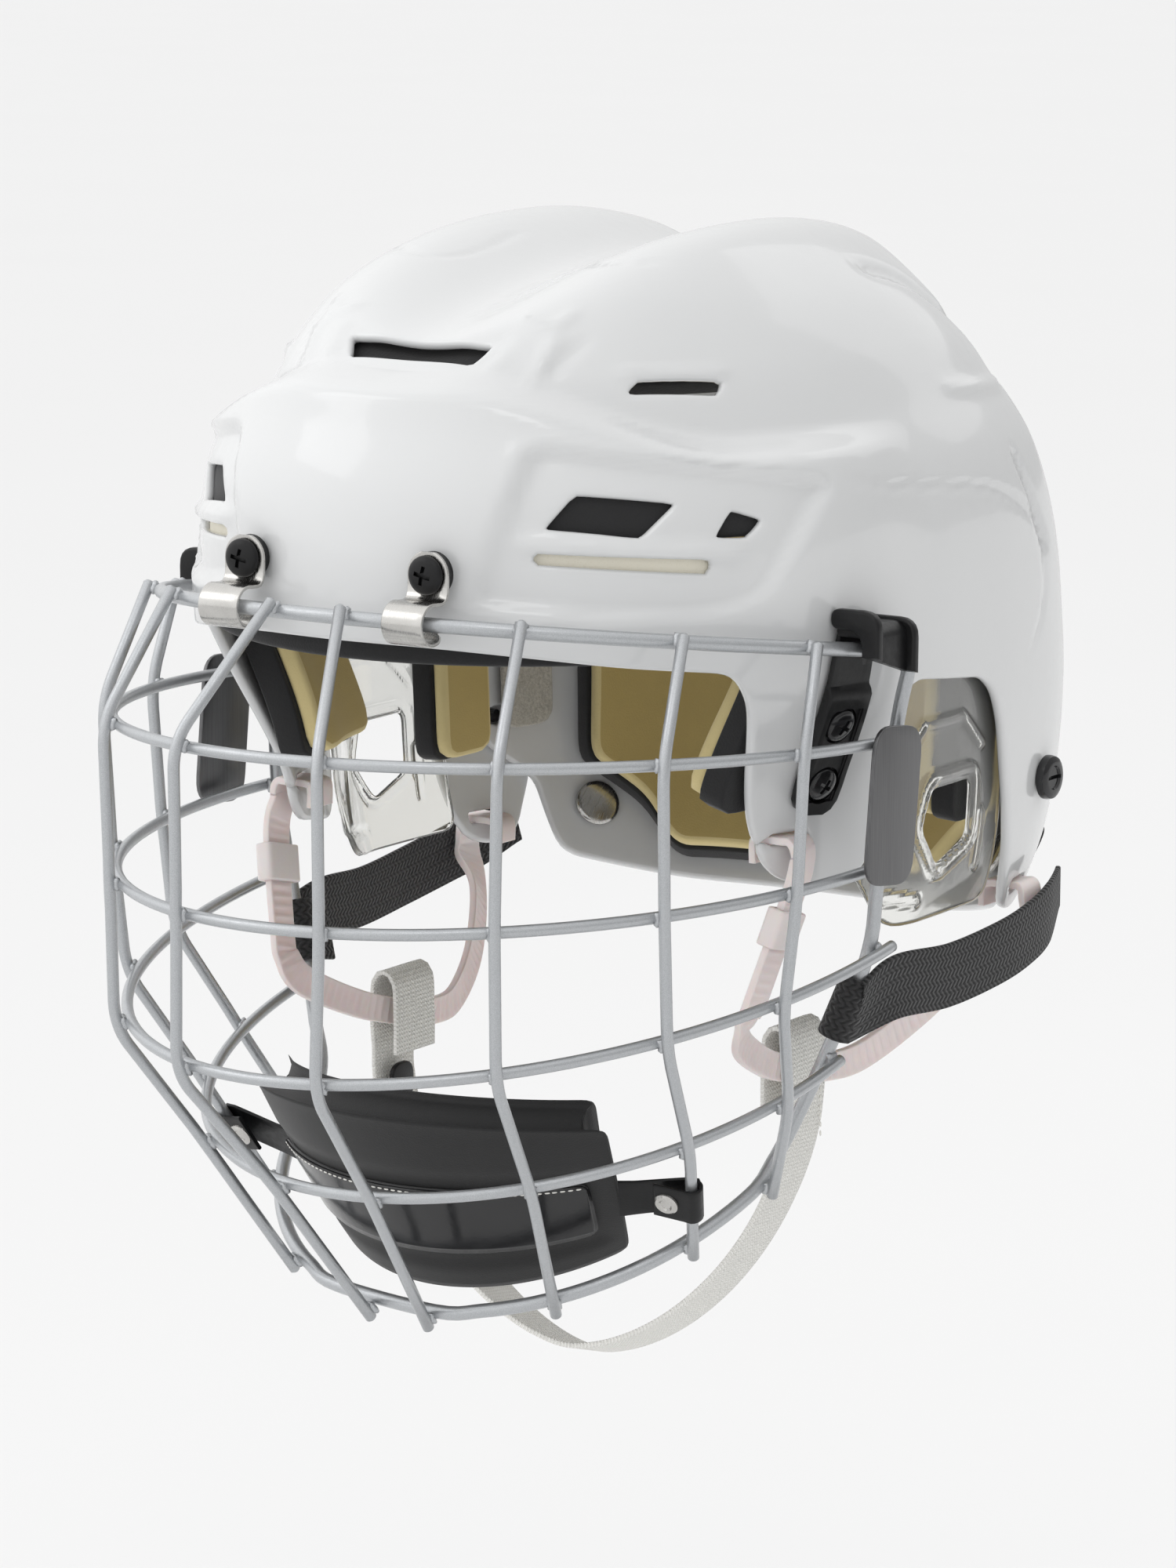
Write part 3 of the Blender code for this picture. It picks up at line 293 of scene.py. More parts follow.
def section(level):
    level = np.clip(np.asarray(level, float), 0, TOP)
    i = np.minimum(level.astype(int), TOP - 1)
    u = (level - i)[..., None]
    p, q, r, s = (SECTIONS[k] for k in (np.maximum(i - 1, 0), i, i + 1, np.minimum(i + 2, TOP)))
    return catmull(p, q, r, s, u)


LEVELS = np.linspace(0, TOP, 4001)
HEIGHTS = section(LEVELS)[:, 0]


def level_at(height):
    return np.interp(height, HEIGHTS, LEVELS)


def brow_offset(side, z):
    ledge = BROW_LEDGE_FRONT + (BROW_LEDGE_SIDE - BROW_LEDGE_FRONT) * ease(8, 45, side)
    low = 1 - (1 - ease(0, 80, z)) * ease(25, 50, side)
    band = BROW_BAND * (1 - ease(48, 82, side)) * (1 - ease(ledge - 3, ledge + 4, z)) * low
    return band - TEMPLE_TUCK * ease(30, 50, side) * (1 - ease(62, 88, side)) * (1 - ease(-5, 45, z))


def bare_point(degrees, level):
    z, width, front, rear, square_front, square_rear = np.moveaxis(section(level), -1, 0)
    a = np.radians(degrees)
    c, s = np.cos(a), np.sin(a)
    side = np.abs(np.degrees(np.arctan2(s, c)))
    reach = np.maximum(np.where(c > 0, SHELL_CENTRE_Y - front, rear - SHELL_CENTRE_Y), 1e-3)
    square = square_rear + (square_front - square_rear) * ease(-0.3, 0.3, c)
    radius = (np.abs(s) / np.maximum(width, 1e-3)) ** square + (np.abs(c) / reach) ** square
    radius = radius ** (-1 / square)
    radius = np.where(width < 0.05, 0.0, radius + brow_offset(side, z))
    x, y = radius * s, SHELL_CENTRE_Y - radius * c
    crown = ease(120, 156, z)
    z = z + crown * (LOBE_HEIGHT * bell(np.abs(x), LOBE_X, 20) - VALLEY_DEPTH * bell(x, 0, 22))
    return np.stack([x, y, z], -1)


def shell_frame(degrees, level):
    """Points on the outer surface and their outward normals."""
    degrees, level = np.broadcast_arrays(np.asarray(degrees, float), np.asarray(level, float))
    p = bare_point(degrees, level)
    along = bare_point(degrees + 0.5, level) - bare_point(degrees - 0.5, level)
    up = bare_point(degrees, np.minimum(level + 0.05, TOP)) - bare_point(degrees, np.maximum(level - 0.05, 0))
    n = np.cross(along, up)
    length = np.linalg.norm(n, axis=-1, keepdims=True)
    n = np.where(length < 1e-7, np.array([0.0, 0.0, 1.0]), n / np.maximum(length, 1e-7))
    return p, n


def surface_at(degrees, height, depth=0.0):
    p, n = shell_frame(degrees, level_at(height))
    return p - n * np.asarray(depth)[..., None]


def degrees_at(y, height, depth=0.0):
    """Angle on the wearer's left at which the surface crosses the given y."""
    low, high = 1.0, 179.0
    for _ in range(30):
        mid = (low + high) / 2
        if surface_at(mid, height, depth)[1] < y:
            low = mid
        else:
            high = mid
    return low


CREASE_STRENGTH = 1.35
# Creases moulded in the front shell: (degrees, height) points, half width, rise
CREASES = [
    ([(14, 141), (19, 137), (22, 140)], 1.6, 0.8),
    ([(20, 135), (18, 124)], 1.8, 0.9),
    ([(24, 134), (19, 126)], 1.4, -0.7),
    ([(19, 85), (30, 82.6), (45, 80)], 2.4, 1.5),
    ([(28.5, 126.5), (45, 125.6)], 1.3, 0.9),
    ([(60, 97), (70, 93), (85, 90), (102, 85.5), (114, 75.5), (118, 63), (118, 48), (113, 36)], 1.1, -0.7),
    ([(112, 95), (117, 74), (120, 64)], 1.6, -1.8),
    ([(100, 146), (112, 143.5), (120, 139.5), (126, 131.5), (127.5, 122), (125, 113)], 3.0, -1.6),
    ([(98, 114.5), (112, 112.5), (124, 112)], 2.0, 0.8),
    ([(37, 148.5), (24, 150.4), (20, 153.5), (25, 156), (38, 157.3)], 0.9, -0.45),
    ([(12, 134.5), (13.5, 131), (12, 128.5)], 1.6, 0.5),
]
# Areas set in or raised: outline in (degrees, height), amount, softness of the edge
PANELS = [
    ([(20, 110), (28, 107), (40, 103.5), (52, 99.5), (57, 97), (54, 91), (50, 79), (46.5, 68), (40, 64.5),
      (28, 65.5), (14.5, 69), (17.5, 90)], -3.0, 4.0),
    ([(-14, 137.5), (14, 137.5), (13, 128.6), (-13, 128.6)], -1.0, 3.0),
]


def relief(points, degrees, height):
    """Height of the moulded details above the plain surface of the front shell."""
    out = np.zeros(points.shape[:-1])
    flat = points.reshape(-1, 3)
    mirrored = flat.copy()
    mirrored[:, 0] = np.abs(mirrored[:, 0])
    result = out.reshape(-1)
    for line, width, rise in CREASES:
        route = smooth_line(line, 0.6)
        path = surface_at(route[:, 0], route[:, 1])
        tree = kdtree.KDTree(len(path))
        for i, p in enumerate(path):
            tree.insert(p, i)
        tree.balance()
        low, high = path.min(0) - 9, path.max(0) + 9
        near = np.where(((mirrored > low) & (mirrored < high)).all(1))[0]
        for i in near:
            _, k, d = tree.find(mirrored[i])
            end = min(k, len(path) - 1 - k) / max(len(path) * 0.18, 1)
            result[i] += CREASE_STRENGTH * rise * math.exp(-(d / width) ** 2) * min(1.0, 0.25 + end)
    scale = np.array([1.9, 1.25])
    here = np.stack([np.abs(degrees), height], -1).reshape(-1, 2) * scale
    signed = np.stack([degrees, height], -1).reshape(-1, 2) * scale
    for outline, amount, soft in PANELS:
        where = signed if min(q[0] for q in outline) < 0 else here
        poly = np.array(round_corners(np.array(outline) * scale, 5))
        result += amount * ease(-soft / 2, soft / 2, polygon_distance(where, poly))
    return result.reshape(out.shape)


# ---------------------------------------------------------------- mesh helpers

def new_object(name, verts, faces, materials, groups=None, uvs=None, smooth=True):
    mesh = bpy.data.meshes.new(name)
    mesh.from_pydata([tuple(v) for v in np.asarray(verts) * MM], [], faces)
    for m in materials if isinstance(materials, (list, tuple)) else [materials]:
        mesh.materials.append(m)
    if groups is not None:
        mesh.polygons.foreach_set("material_index", np.asarray(groups, np.int32))
    mesh.polygons.foreach_set("use_smooth", [smooth] * len(mesh.polygons))
    if uvs is not None:
        layer = mesh.uv_layers.new(name="UVMap")
        index = np.zeros(len(mesh.loops), np.int32)
        mesh.loops.foreach_get("vertex_index", index)
        layer.data.foreach_set("uv", np.asarray(uvs, np.float32)[index].ravel())
    mesh.update()
    ob = bpy.data.objects.new(name, mesh)
    bpy.context.scene.collection.objects.link(ob)
    return ob


def ring_faces(rows, size, caps=True):
    """Faces between rows of points, each row a closed ring, with a face over each end."""
    faces = []
    for i in range(rows - 1):
        for j in range(size):
            k = (j + 1) % size
            faces.append([i * size + j, i * size + k, (i + 1) * size + k, (i + 1) * size + j])
    if caps:
        faces += [list(range(size))[::-1], list(range((rows - 1) * size, rows * size))]
    return faces


def circle(centre, side, up, radius, sides):
    turns = [2 * math.pi * k / sides for k in range(sides)]
    return [centre + (side * math.cos(a) + up * math.sin(a)) * radius for a in turns]


def sharpen(ob, degrees=35):
    ob.data.set_sharp_from_angle(angle=math.radians(degrees))


def clean(ob, distance=0.02):
    bm = bmesh.new()
    bm.from_mesh(ob.data)
    bmesh.ops.remove_doubles(bm, verts=bm.verts, dist=distance * MM)
    bmesh.ops.recalc_face_normals(bm, faces=bm.faces)
    bm.to_mesh(ob.data)
    bm.free()
    return ob


FULL_TURN = 360.0
SNAP = 0.35   # share of a grid step within which a vertex is pulled on to the edge


def trimmed_wall(name, us, vs, surface, inside, thickness, radius, materials, wrap=False):
    """Closed wall of even thickness over the part of a (u, v) grid where inside() is positive.

    surface(u, v) gives points and outward normals; inside(u, v, points, normals) gives the distance in mm
    to the edge of the wall, positive on the wall. The edge is rounded by the radius. The material is one
    for all, or a list for outside, inside and edge.
    """
    nu, nv = len(us), len(vs)
    u, v = (a.astype(float) for a in np.meshgrid(us, vs))
    p, n = surface(u, v)
    f = inside(u, v, p, n) - radius
    cols = nu if wrap else nu - 1

    def u_of(i, j):
        return u[i, j % nu] + (FULL_TURN if j >= nu else 0.0)

    # pull near vertices on to the edge, so that no sliver faces are left
    moves = {}
    for i in range(nv):
        for j in range(nu):
            for di, dj in ((0, 1), (1, 0)):
                i2, j2 = i + di, j + dj
                if i2 >= nv or (j2 >= nu and not wrap):
                    continue
                a, b = f[i, j], f[i2, j2 % nu]
                if a * b >= 0:
                    continue
                t = a / (a - b)
                if t < SNAP:
                    key, amount, other = (i, j), t, (u_of(i2, j2), v[i2, j2 % nu])
                    base = (u[i, j], v[i, j])
                elif t > 1 - SNAP:
                    key, amount = (i2, j2 % nu), 1 - t
                    other = (u[i, j] - (FULL_TURN if j2 >= nu else 0), v[i, j])
                    base = (u[i2, j2 % nu], v[i2, j2 % nu])
                else:
                    continue
                if key not in moves or moves[key][0] > amount:
                    target = [q + (r - q) * amount for q, r in zip(base, other)]
                    moves[key] = (amount, target)
    for (i, j), (_, (new_u, new_v)) in moves.items():
        u[i, j], v[i, j], f[i, j] = new_u, new_v, 0.0

    points_u, points_v, index, faces = [], [], {}, []

    def vertex(key, uu, vv):
        if key not in index:
            index[key] = len(points_u)
            points_u.append(uu)
            points_v.append(vv)
        return index[key]

    for i in range(nv - 1):
        for j in range(cols):
            corners = [(i, j), (i, j + 1), (i + 1, j + 1), (i + 1, j)]
            values = [f[a, b % nu] for a, b in corners]
            if max(values) <= 0:
                continue
            face = []
            for k in range(4):
                (a, b), (c, d) = corners[k], corners[(k + 1) % 4]
                fa, fb = values[k], values[(k + 1) % 4]
                if fa >= 0:
                    face.append(vertex((a, b % nu), u_of(a, b), v[a, b % nu]))
                if fa * fb < 0:
                    t = fa / (fa - fb)
                    key = tuple(sorted(((a, b % nu), (c, d % nu))))
                    face.append(vertex(key, u_of(a, b) * (1 - t) + u_of(c, d) * t,
                                       v[a, b % nu] * (1 - t) + v[c, d % nu] * t))
            face = [q for k, q in enumerate(face) if q != face[k - 1]]
            if len(face) >= 3:
                faces.append(face)
    outer, normal = surface(np.array(points_u), np.array(points_v))
    count = len(outer)
    inner = outer - normal * thickness

    edges = {pair: True for face in faces for pair in zip(face, face[1:] + face[:1])}
    border = [(a, b) for a, b in edges if (b, a) not in edges]
    away = np.zeros((count, 3))
    for a, b in border:
        out = unit(np.cross(outer[b] - outer[a], normal[a] + normal[b]))
        away[a] += out
        away[b] += out
    away = unit(away)

    verts = [outer, inner]
    total = 2 * count
    rings = []
    edge_vertices = sorted({q for e in border for q in e})
    slot = {q: k for k, q in enumerate(edge_vertices)}
    e = np.array(edge_vertices, int)
    arc = [(radius * (1 - math.cos(a)), radius * math.sin(a)) for a in map(math.radians, (30, 60, 90))]
    stations = list(arc)
    if thickness > 2 * radius + 0.01:
        stations += [(thickness - radius, radius)]
    stations += [(thickness - depth, reach) for depth, reach in arc[1::-1]]
    if len(e):
        for depth, reach in stations:
            verts.append(outer[e] - normal[e] * depth + away[e] * reach)
            rings.append(total)
            total += len(e)
    groups = [0] * len(faces) + [1] * len(faces)
    all_faces = [list(face) for face in faces] + [[q + count for q in reversed(face)] for face in faces]
    for a, b in border:
        left = [a] + [r + slot[a] for r in rings] + [a + count]
        right = [b] + [r + slot[b] for r in rings] + [b + count]
        for k in range(len(left) - 1):
            all_faces.append([right[k], left[k], left[k + 1], right[k + 1]])
            groups.append(2)
    materials = materials if isinstance(materials, list) else [materials] * 3
    return clean(new_object(name, np.concatenate(verts), all_faces, materials, groups))


def patch_test(poly, scale):
    """Distance to an outline drawn in (u, v) times the scale."""
    def test(u, v, p, n):
        at = np.stack([u, v], -1).reshape(-1, 2) * scale
        return polygon_distance(at, poly).reshape(u.shape)
    return test


def rounded_section(width, thickness, radius, across=6, arc=4):
    """Cross-section of a strip: (across, thin) points of a rectangle with rounded edges."""
    w, t = width / 2, thickness / 2
    radius = min(radius, t, w)
    out = []
    for cx, cy, start in ((w - radius, t - radius, 0), (-w + radius, t - radius, 90),
                          (-w + radius, -t + radius, 180), (w - radius, -t + radius, 270)):
        for k in range(arc + 1):
            a = math.radians(start + 90 * k / arc)
            out.append((cx + radius * math.cos(a), cy + radius * math.sin(a)))
        if start in (0, 180) and across > 1:
            sign = -1 if start == 0 else 1
            span = 2 * (w - radius)
            for k in range(1, across):
                out.append((cx + sign * span * k / across, sign * -t))
    return np.array(out)


def strip(name, path, across, widths, thickness, materials, radius=0.5):
    """Flat strip with rounded edges swept along a path; UV runs along and across it in mm."""
    path = np.asarray(path, float)
    count = len(path)
    across = np.broadcast_to(np.asarray(across, float), path.shape)
    widths = np.broadcast_to(np.asarray(widths, float), count)
    thick = np.broadcast_to(np.asarray(thickness, float), count)
    along = unit(np.gradient(path, axis=0))
    wide = unit(across - along * np.sum(across * along, 1, keepdims=True))
    thin = np.cross(along, wide)
    reach = arc_length(path)
    verts, uvs = [], []
    for i in range(count):
        ring = rounded_section(widths[i], thick[i], radius)
        verts.append(path[i] + wide[i] * ring[:, :1] + thin[i] * ring[:, 1:])
        uvs.append(np.stack([np.full(len(ring), reach[i]), ring[:, 0]], 1))
    faces = ring_faces(count, len(ring))
    ob = new_object(name, np.concatenate(verts), faces, materials, uvs=np.concatenate(uvs))
    bm = bmesh.new()
    bm.from_mesh(ob.data)
    bmesh.ops.recalc_face_normals(bm, faces=bm.faces)
    for face in bm.faces:
        if len(face.verts) > 4:
            face.smooth = False
    bm.to_mesh(ob.data)
    bm.free()
    return ob


def tube(name, path, radius, material, cyclic=False, sides=16, edge=0.5):
    """Round wire along a path with slightly rounded cut ends."""
    path = np.asarray(path, float)
    if cyclic:
        along = unit(np.roll(path, -1, 0) - np.roll(path, 1, 0))
    else:
        along = unit(np.gradient(path, axis=0))
        if edge:
            path = np.concatenate([[path[0]], [path[0] + along[0] * edge], path[1:-1],
                                   [path[-1] - along[-1] * edge], [path[-1]]])
            along = np.concatenate([[along[0]] * 2, along[1:-1], [along[-1]] * 2])
    radii = np.full(len(path), float(radius))
    if not cyclic and edge:
        radii[0] = radii[-1] = radius - edge
    side = unit(np.cross(along[0], (0.31, 0.17, 0.93)))
    verts = []
    for i, (p, t) in enumerate(zip(path, along)):
        side = unit(side - t * (side @ t))
        verts += circle(p, side, np.cross(t, side), radii[i], sides)
    n = len(path)
    faces = ring_faces(n, sides, caps=not cyclic)
    if cyclic:
        first, last = verts[0], verts[(n - 1) * sides:]
        twist = int(np.argmin([np.linalg.norm(q - first) for q in last]))
        start = (n - 1) * sides
        for k in range(sides):
            faces.append([start + k, start + (k + 1) % sides, (k + 1 - twist) % sides, (k - twist) % sides])
    return clean(new_object(name, verts, faces, material), 0.001)


def lathe(name, profile, base, out, material, sides=40):
    """Solid turned round the out direction; profile is (radius, height) from one end to the other."""
    out = unit(np.asarray(out, float))
    side = unit(np.cross(out, (0.3, 0.2, 0.93) if abs(out[2]) < 0.9 else (1, 0, 0)))
    up = np.cross(out, side)
    base = np.asarray(base, float)
    verts = []
    for r, h in profile:
        verts += circle(base + out * h, side, up, max(r, 0.0005), sides)
    ob = clean(new_object(name, verts, ring_faces(len(profile), sides), material), 0.004)
    sharpen(ob, 38)
    return ob



def apply_modifiers(ob):
    """Replaces the mesh by the result of the object's modifiers."""
    graph = bpy.context.evaluated_depsgraph_get()
    mesh = bpy.data.meshes.new_from_object(ob.evaluated_get(graph))
    ob.modifiers.clear()
    ob.data = mesh
    return ob


def carve(ob, tool, operation="DIFFERENCE"):
    mod = ob.modifiers.new("carve", "BOOLEAN")
    mod.operation = operation
    mod.solver = "EXACT"
    mod.object = tool
    apply_modifiers(ob)
    bpy.data.objects.remove(tool, do_unlink=True)
    return ob


def cut_box(ob, size, centre, axes, material):
    """Cuts a box turned to the axes out of an object."""
    axes = np.asarray(axes, float)
    half = (-0.5, 0.5)
    verts = [np.asarray(centre, float) + axes[0] * x * size[0] + axes[1] * y * size[1] + axes[2] * z * size[2]
             for x in half for y in half for z in half]
    faces = [[0, 1, 3, 2], [4, 6, 7, 5], [0, 4, 5, 1], [2, 3, 7, 6], [0, 2, 6, 4], [1, 5, 7, 3]]
    carve(ob, clean(new_object("cutter", verts, faces, material, smooth=False), 0.001))
    sharpen(ob)


def both_sides():
    return (("left", 1), ("right", -1))


def flip(points, side):
    return np.asarray(points, float) * np.array([side, 1, 1])


def place(ob, body, slot, *nodes):
    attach(ob, body)
    if nodes:
        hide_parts(*nodes)
    return ob


# ---------------------------------------------------------------- materials

class Shader:
    """Principled material with a few helpers for adding procedural nodes."""

    def __init__(self, name, colour, roughness, metallic=0.0, **inputs):
        self.material = bpy.data.materials.new(name)
        self.material.use_nodes = True
        self.tree = self.material.node_tree
        self.shader = self.tree.nodes["Principled BSDF"]
        self.set("Base Color", (*colour, 1.0))
        self.set("Roughness", roughness)
        self.set("Metallic", metallic)
        for key, value in inputs.items():
            self.set(key.replace("_", " "), value)
        self.height = None

    def set(self, key, value):
        self.shader.inputs[key].default_value = value

    def feed(self, socket, value):
        """Links a socket to the input, or sets the input's value."""
        if isinstance(value, bpy.types.NodeSocket):
            self.tree.links.new(value, socket)
        else:
            socket.default_value = value

    def node(self, kind, **inputs):
        node = self.tree.nodes.new(kind)
        for key, value in inputs.items():
            if hasattr(node, key):
                setattr(node, key, value)
            else:
                self.feed(node.inputs[key.replace("_", " ")], value)
        return node

    def math(self, operation, a, b=0.0):
        node = self.tree.nodes.new("ShaderNodeMath")
        node.operation = operation
        for socket, value in zip(node.inputs, (a, b)):
            self.feed(socket, value)
        return node.outputs[0]

    def position(self):
        return self.node("ShaderNodeTexCoord").outputs["Object"]

    def noise(self, scale, detail=3.0, roughness=0.5):
        return self.node("ShaderNodeTexNoise", Vector=self.position(), Scale=scale, Detail=detail,
                         Roughness=roughness).outputs["Fac"]

    def cells(self, scale, feature="F1"):
        return self.node("ShaderNodeTexVoronoi", feature=feature, Vector=self.position(),
                         Scale=scale).outputs["Distance"]

    def ramp(self, value, low, high, a, b):
        ends = {"From_Min": low, "From_Max": high, "To_Min": a, "To_Max": b}
        return self.node("ShaderNodeMapRange", Value=value, **ends).outputs[0]

    def blend(self, factor, a, b):
        node = self.tree.nodes.new("ShaderNodeMix")
        node.data_type = "RGBA"
        self.tree.links.new(factor, node.inputs["Factor"])
        for socket, value in zip((node.inputs[6], node.inputs[7]), (a, b)):
            socket.default_value = (*value, 1.0)
        return node.outputs[2]

    def colour(self, socket):
        self.tree.links.new(socket, self.shader.inputs["Base Color"])
        return self

    def rough(self, socket):
        self.tree.links.new(socket, self.shader.inputs["Roughness"])
        return self

    def bump(self, height, distance, strength=1.0):
        """Adds a bump layer; distance is in metres."""
        node = self.node("ShaderNodeBump", Height=height, Strength=strength, Distance=distance)
        if self.height is not None:
            self.tree.links.new(self.height, node.inputs["Normal"])
        self.height = node.outputs[0]
        self.tree.links.new(self.height, self.shader.inputs["Normal"])
        return self


def shell_material():
    s = Shader("white_shell", (0.69, 0.695, 0.70), 0.16, Coat_Weight=0.55, Coat_Roughness=0.04)
    s.set("Specular IOR Level", 0.5)
    s.colour(s.blend(s.ramp(s.noise(9), 0.35, 0.65, 0.0, 1.0), (0.695, 0.702, 0.705), (0.675, 0.682, 0.685)))
    s.rough(s.ramp(s.noise(260, 4), 0.3, 0.7, 0.12, 0.22))
    s.bump(s.noise(150, 2), 0.00006)
    return s.material


def cage_material():
    s = Shader("cage_paint", (0.30, 0.315, 0.33), 0.34, 0.72, Coat_Weight=0.25, Coat_Roughness=0.2)
    s.colour(s.blend(s.ramp(s.cells(5200), 0.1, 0.6, 0.0, 1.0), (0.58, 0.595, 0.61), (0.43, 0.445, 0.46)))
    s.rough(s.ramp(s.noise(700), 0.3, 0.7, 0.28, 0.42))
    s.bump(s.noise(900, 3), 0.00003)
    return s.material


def plate_material():
    s = Shader("plate_metal", (0.13, 0.13, 0.132), 0.36, 0.85)
    grain = s.node("ShaderNodeMapping", Vector=s.position(), Scale=(900, 2600, 60)).outputs[0]
    lines = s.node("ShaderNodeTexNoise", Vector=grain, Scale=1.0, Detail=2.0).outputs["Fac"]
    s.colour(s.blend(lines, (0.10, 0.10, 0.102), (0.19, 0.19, 0.193)))
    s.rough(s.ramp(lines, 0.3, 0.7, 0.28, 0.42))
    s.bump(lines, 0.00001)
    return s.material


def steel_material():
    s = Shader("steel", (0.56, 0.55, 0.53), 0.2, 1.0)
    grain = s.node("ShaderNodeMapping", Vector=s.position(), Scale=(3000, 300, 300)).outputs[0]
    lines = s.node("ShaderNodeTexNoise", Vector=grain, Scale=1.0, Detail=3.0).outputs["Fac"]
    s.rough(s.ramp(lines, 0.3, 0.7, 0.12, 0.32))
    s.colour(s.blend(s.noise(180, 4), (0.60, 0.59, 0.57), (0.45, 0.44, 0.42)))
    s.bump(lines, 0.00001)
    return s.material


def plastic_material(name, colour, roughness, grain=1500, depth=0.00003, shine=0.5):
    s = Shader(name, colour, roughness)
    s.set("Specular IOR Level", shine)
    lighter = tuple(c * 1.5 + 0.003 for c in colour)
    s.colour(s.blend(s.ramp(s.noise(60, 5), 0.35, 0.75, 0.0, 0.6), colour, lighter))
    s.rough(s.ramp(s.noise(400, 4), 0.3, 0.7, roughness * 0.8, roughness * 1.25))
    s.bump(s.noise(grain, 3), depth)
    return s.material


def foam_material(name, colour, pore_shade_and_mottle_colour, roughness=0.85, scale=1700):
    s = Shader(name, colour, roughness, Sheen_Weight=0.15, Sheen_Roughness=0.5)
    # Painted shade: the darker second colour fills the pits that the cell bump below makes; the wide noise
    # adds random mottle in that colour.
    pore_shade = s.ramp(s.cells(scale), 0.05, 0.45, 1.0, 0.0)
    wide = s.ramp(s.noise(26, 4), 0.3, 0.7, 0.0, 0.22)
    mixed = s.blend(s.math("MAXIMUM", s.math("MULTIPLY", pore_shade, 0.35), wide), colour, pore_shade_and_mottle_colour)
    s.colour(mixed)
    s.bump(s.cells(scale), 0.00008, 0.6)
    s.bump(s.noise(220, 3), 0.00012, 0.5)
    return s.material


def plush_material():
    s = Shader("plush", (0.52, 0.49, 0.42), 0.95, Sheen_Weight=0.6, Sheen_Roughness=0.6)
    tufts = s.noise(1100, 5, 0.7)
    s.colour(s.blend(s.ramp(tufts, 0.35, 0.65, 0.0, 1.0), (0.60, 0.57, 0.50), (0.36, 0.335, 0.28)))
    s.bump(tufts, 0.0005)
    s.bump(s.noise(240, 3), 0.0006)
    return s.material


def clear_material():
    s = Shader("clear_plastic", (0.93, 0.93, 0.90), 0.06, Transmission_Weight=0.94, IOR=1.46)
    s.set("Coat Weight", 0.3)
    s.rough(s.ramp(s.noise(90, 4), 0.35, 0.7, 0.03, 0.12))
    s.bump(s.noise(70, 2), 0.00012)
    return s.material


def pink_material():
    s = Shader("pink_plastic", (0.86, 0.77, 0.755), 0.36, Subsurface_Weight=0.25, Subsurface_Scale=0.004)
    s.colour(s.blend(s.ramp(s.noise(40, 3), 0.3, 0.7, 0.0, 1.0), (0.87, 0.79, 0.775), (0.84, 0.75, 0.735)))
    s.rough(s.ramp(s.noise(500, 3), 0.3, 0.7, 0.3, 0.45))
    s.bump(s.noise(700, 3), 0.00003)
    return s.material


def webbing_material(name, light, groove_shade_and_fuzz_colour, pitch, chevron, roughness=0.85):
    """Woven strap: ribs across it that bend into chevrons, with painted shade in the grooves between them; UV
    is in millimetres.
    """
    s = Shader(name, light, roughness, Sheen_Weight=0.2, Sheen_Roughness=0.5)
    parts = s.node("ShaderNodeSeparateXYZ", Vector=s.node("ShaderNodeUVMap").outputs[0])
    along, across = parts.outputs[0], parts.outputs[1]
    zigzag = s.math("PINGPONG", s.math("ADD", across, 100.0), chevron)
    rib = s.math("SINE", s.math("MULTIPLY", s.math("ADD", along, zigzag), 2 * math.pi / pitch))
    yarn = s.math("SINE", s.math("MULTIPLY", across, 2 * math.pi / (pitch * 0.62)))
    height = s.math("ADD", s.math("MULTIPLY", rib, 0.35), s.math("MULTIPLY", yarn, 0.15))
    height = s.math("ADD", height, 0.5)
    fuzz = s.noise(2600, 4, 0.65)
    # Painted shade: the colour follows the rib height and is darker in the grooves between ribs; the fuzz
    # noise adds random tone.
    s.colour(s.blend(s.ramp(s.math("ADD", height, s.math("MULTIPLY", fuzz, 0.3)), 0.25, 0.95, 0.0, 1.0),
                     groove_shade_and_fuzz_colour, light))
    s.bump(height, 0.00042)
    s.bump(fuzz, 0.00012, 0.7)
    return s.material


MAT = {
    "white_shell": shell_material(),
    "cage_paint": cage_material(),
    "plate_metal": plate_material(),
    "steel": steel_material(),
    "black_plastic": plastic_material("black_plastic", (0.006, 0.006, 0.0065), 0.36, shine=0.28),
    "black_gloss": plastic_material("black_gloss", (0.010, 0.010, 0.011), 0.16, 900, 0.00002),
    "tan_foam": foam_material("tan_foam", (0.52, 0.395, 0.145), (0.43, 0.32, 0.11), 0.7),
    "tan_edge": foam_material("tan_edge", (0.72, 0.60, 0.30), (0.60, 0.48, 0.22), 0.9, 1300),
    "cream_foam": foam_material("cream_foam", (0.90, 0.86, 0.74), (0.78, 0.73, 0.58), 0.9, 1300),
    "black_foam": foam_material("black_foam", (0.017, 0.017, 0.018), (0.006, 0.006, 0.006), 0.92, 1500),
    "cup_foam": foam_material("cup_foam", (0.009, 0.009, 0.0095), (0.005, 0.005, 0.005), 0.66, 2400),
    "plush": plush_material(),
    "clear_plastic": clear_material(),
    "pink_plastic": pink_material(),
    "black_webbing": webbing_material("black_webbing", (0.026, 0.026, 0.027), (0.003, 0.003, 0.003), 2.0,
                                      1.7),
    "white_webbing": webbing_material("white_webbing", (0.97, 0.96, 0.92), (0.84, 0.83, 0.78), 1.25, 0.62),
    "thread": plastic_material("thread", (0.75, 0.74, 0.70), 0.7),
}

# ---------------------------------------------------------------- shells


def levels_by_arc(step):
    """Levels spaced evenly along the side profile."""
    fine = np.linspace(0.0, float(TOP), 1200)
    p = bare_point(np.full(1200, 70.0), fine)
    arc = arc_length(p)
    return np.interp(np.linspace(0, arc[-1], int(arc[-1] / step) + 1), arc, fine)


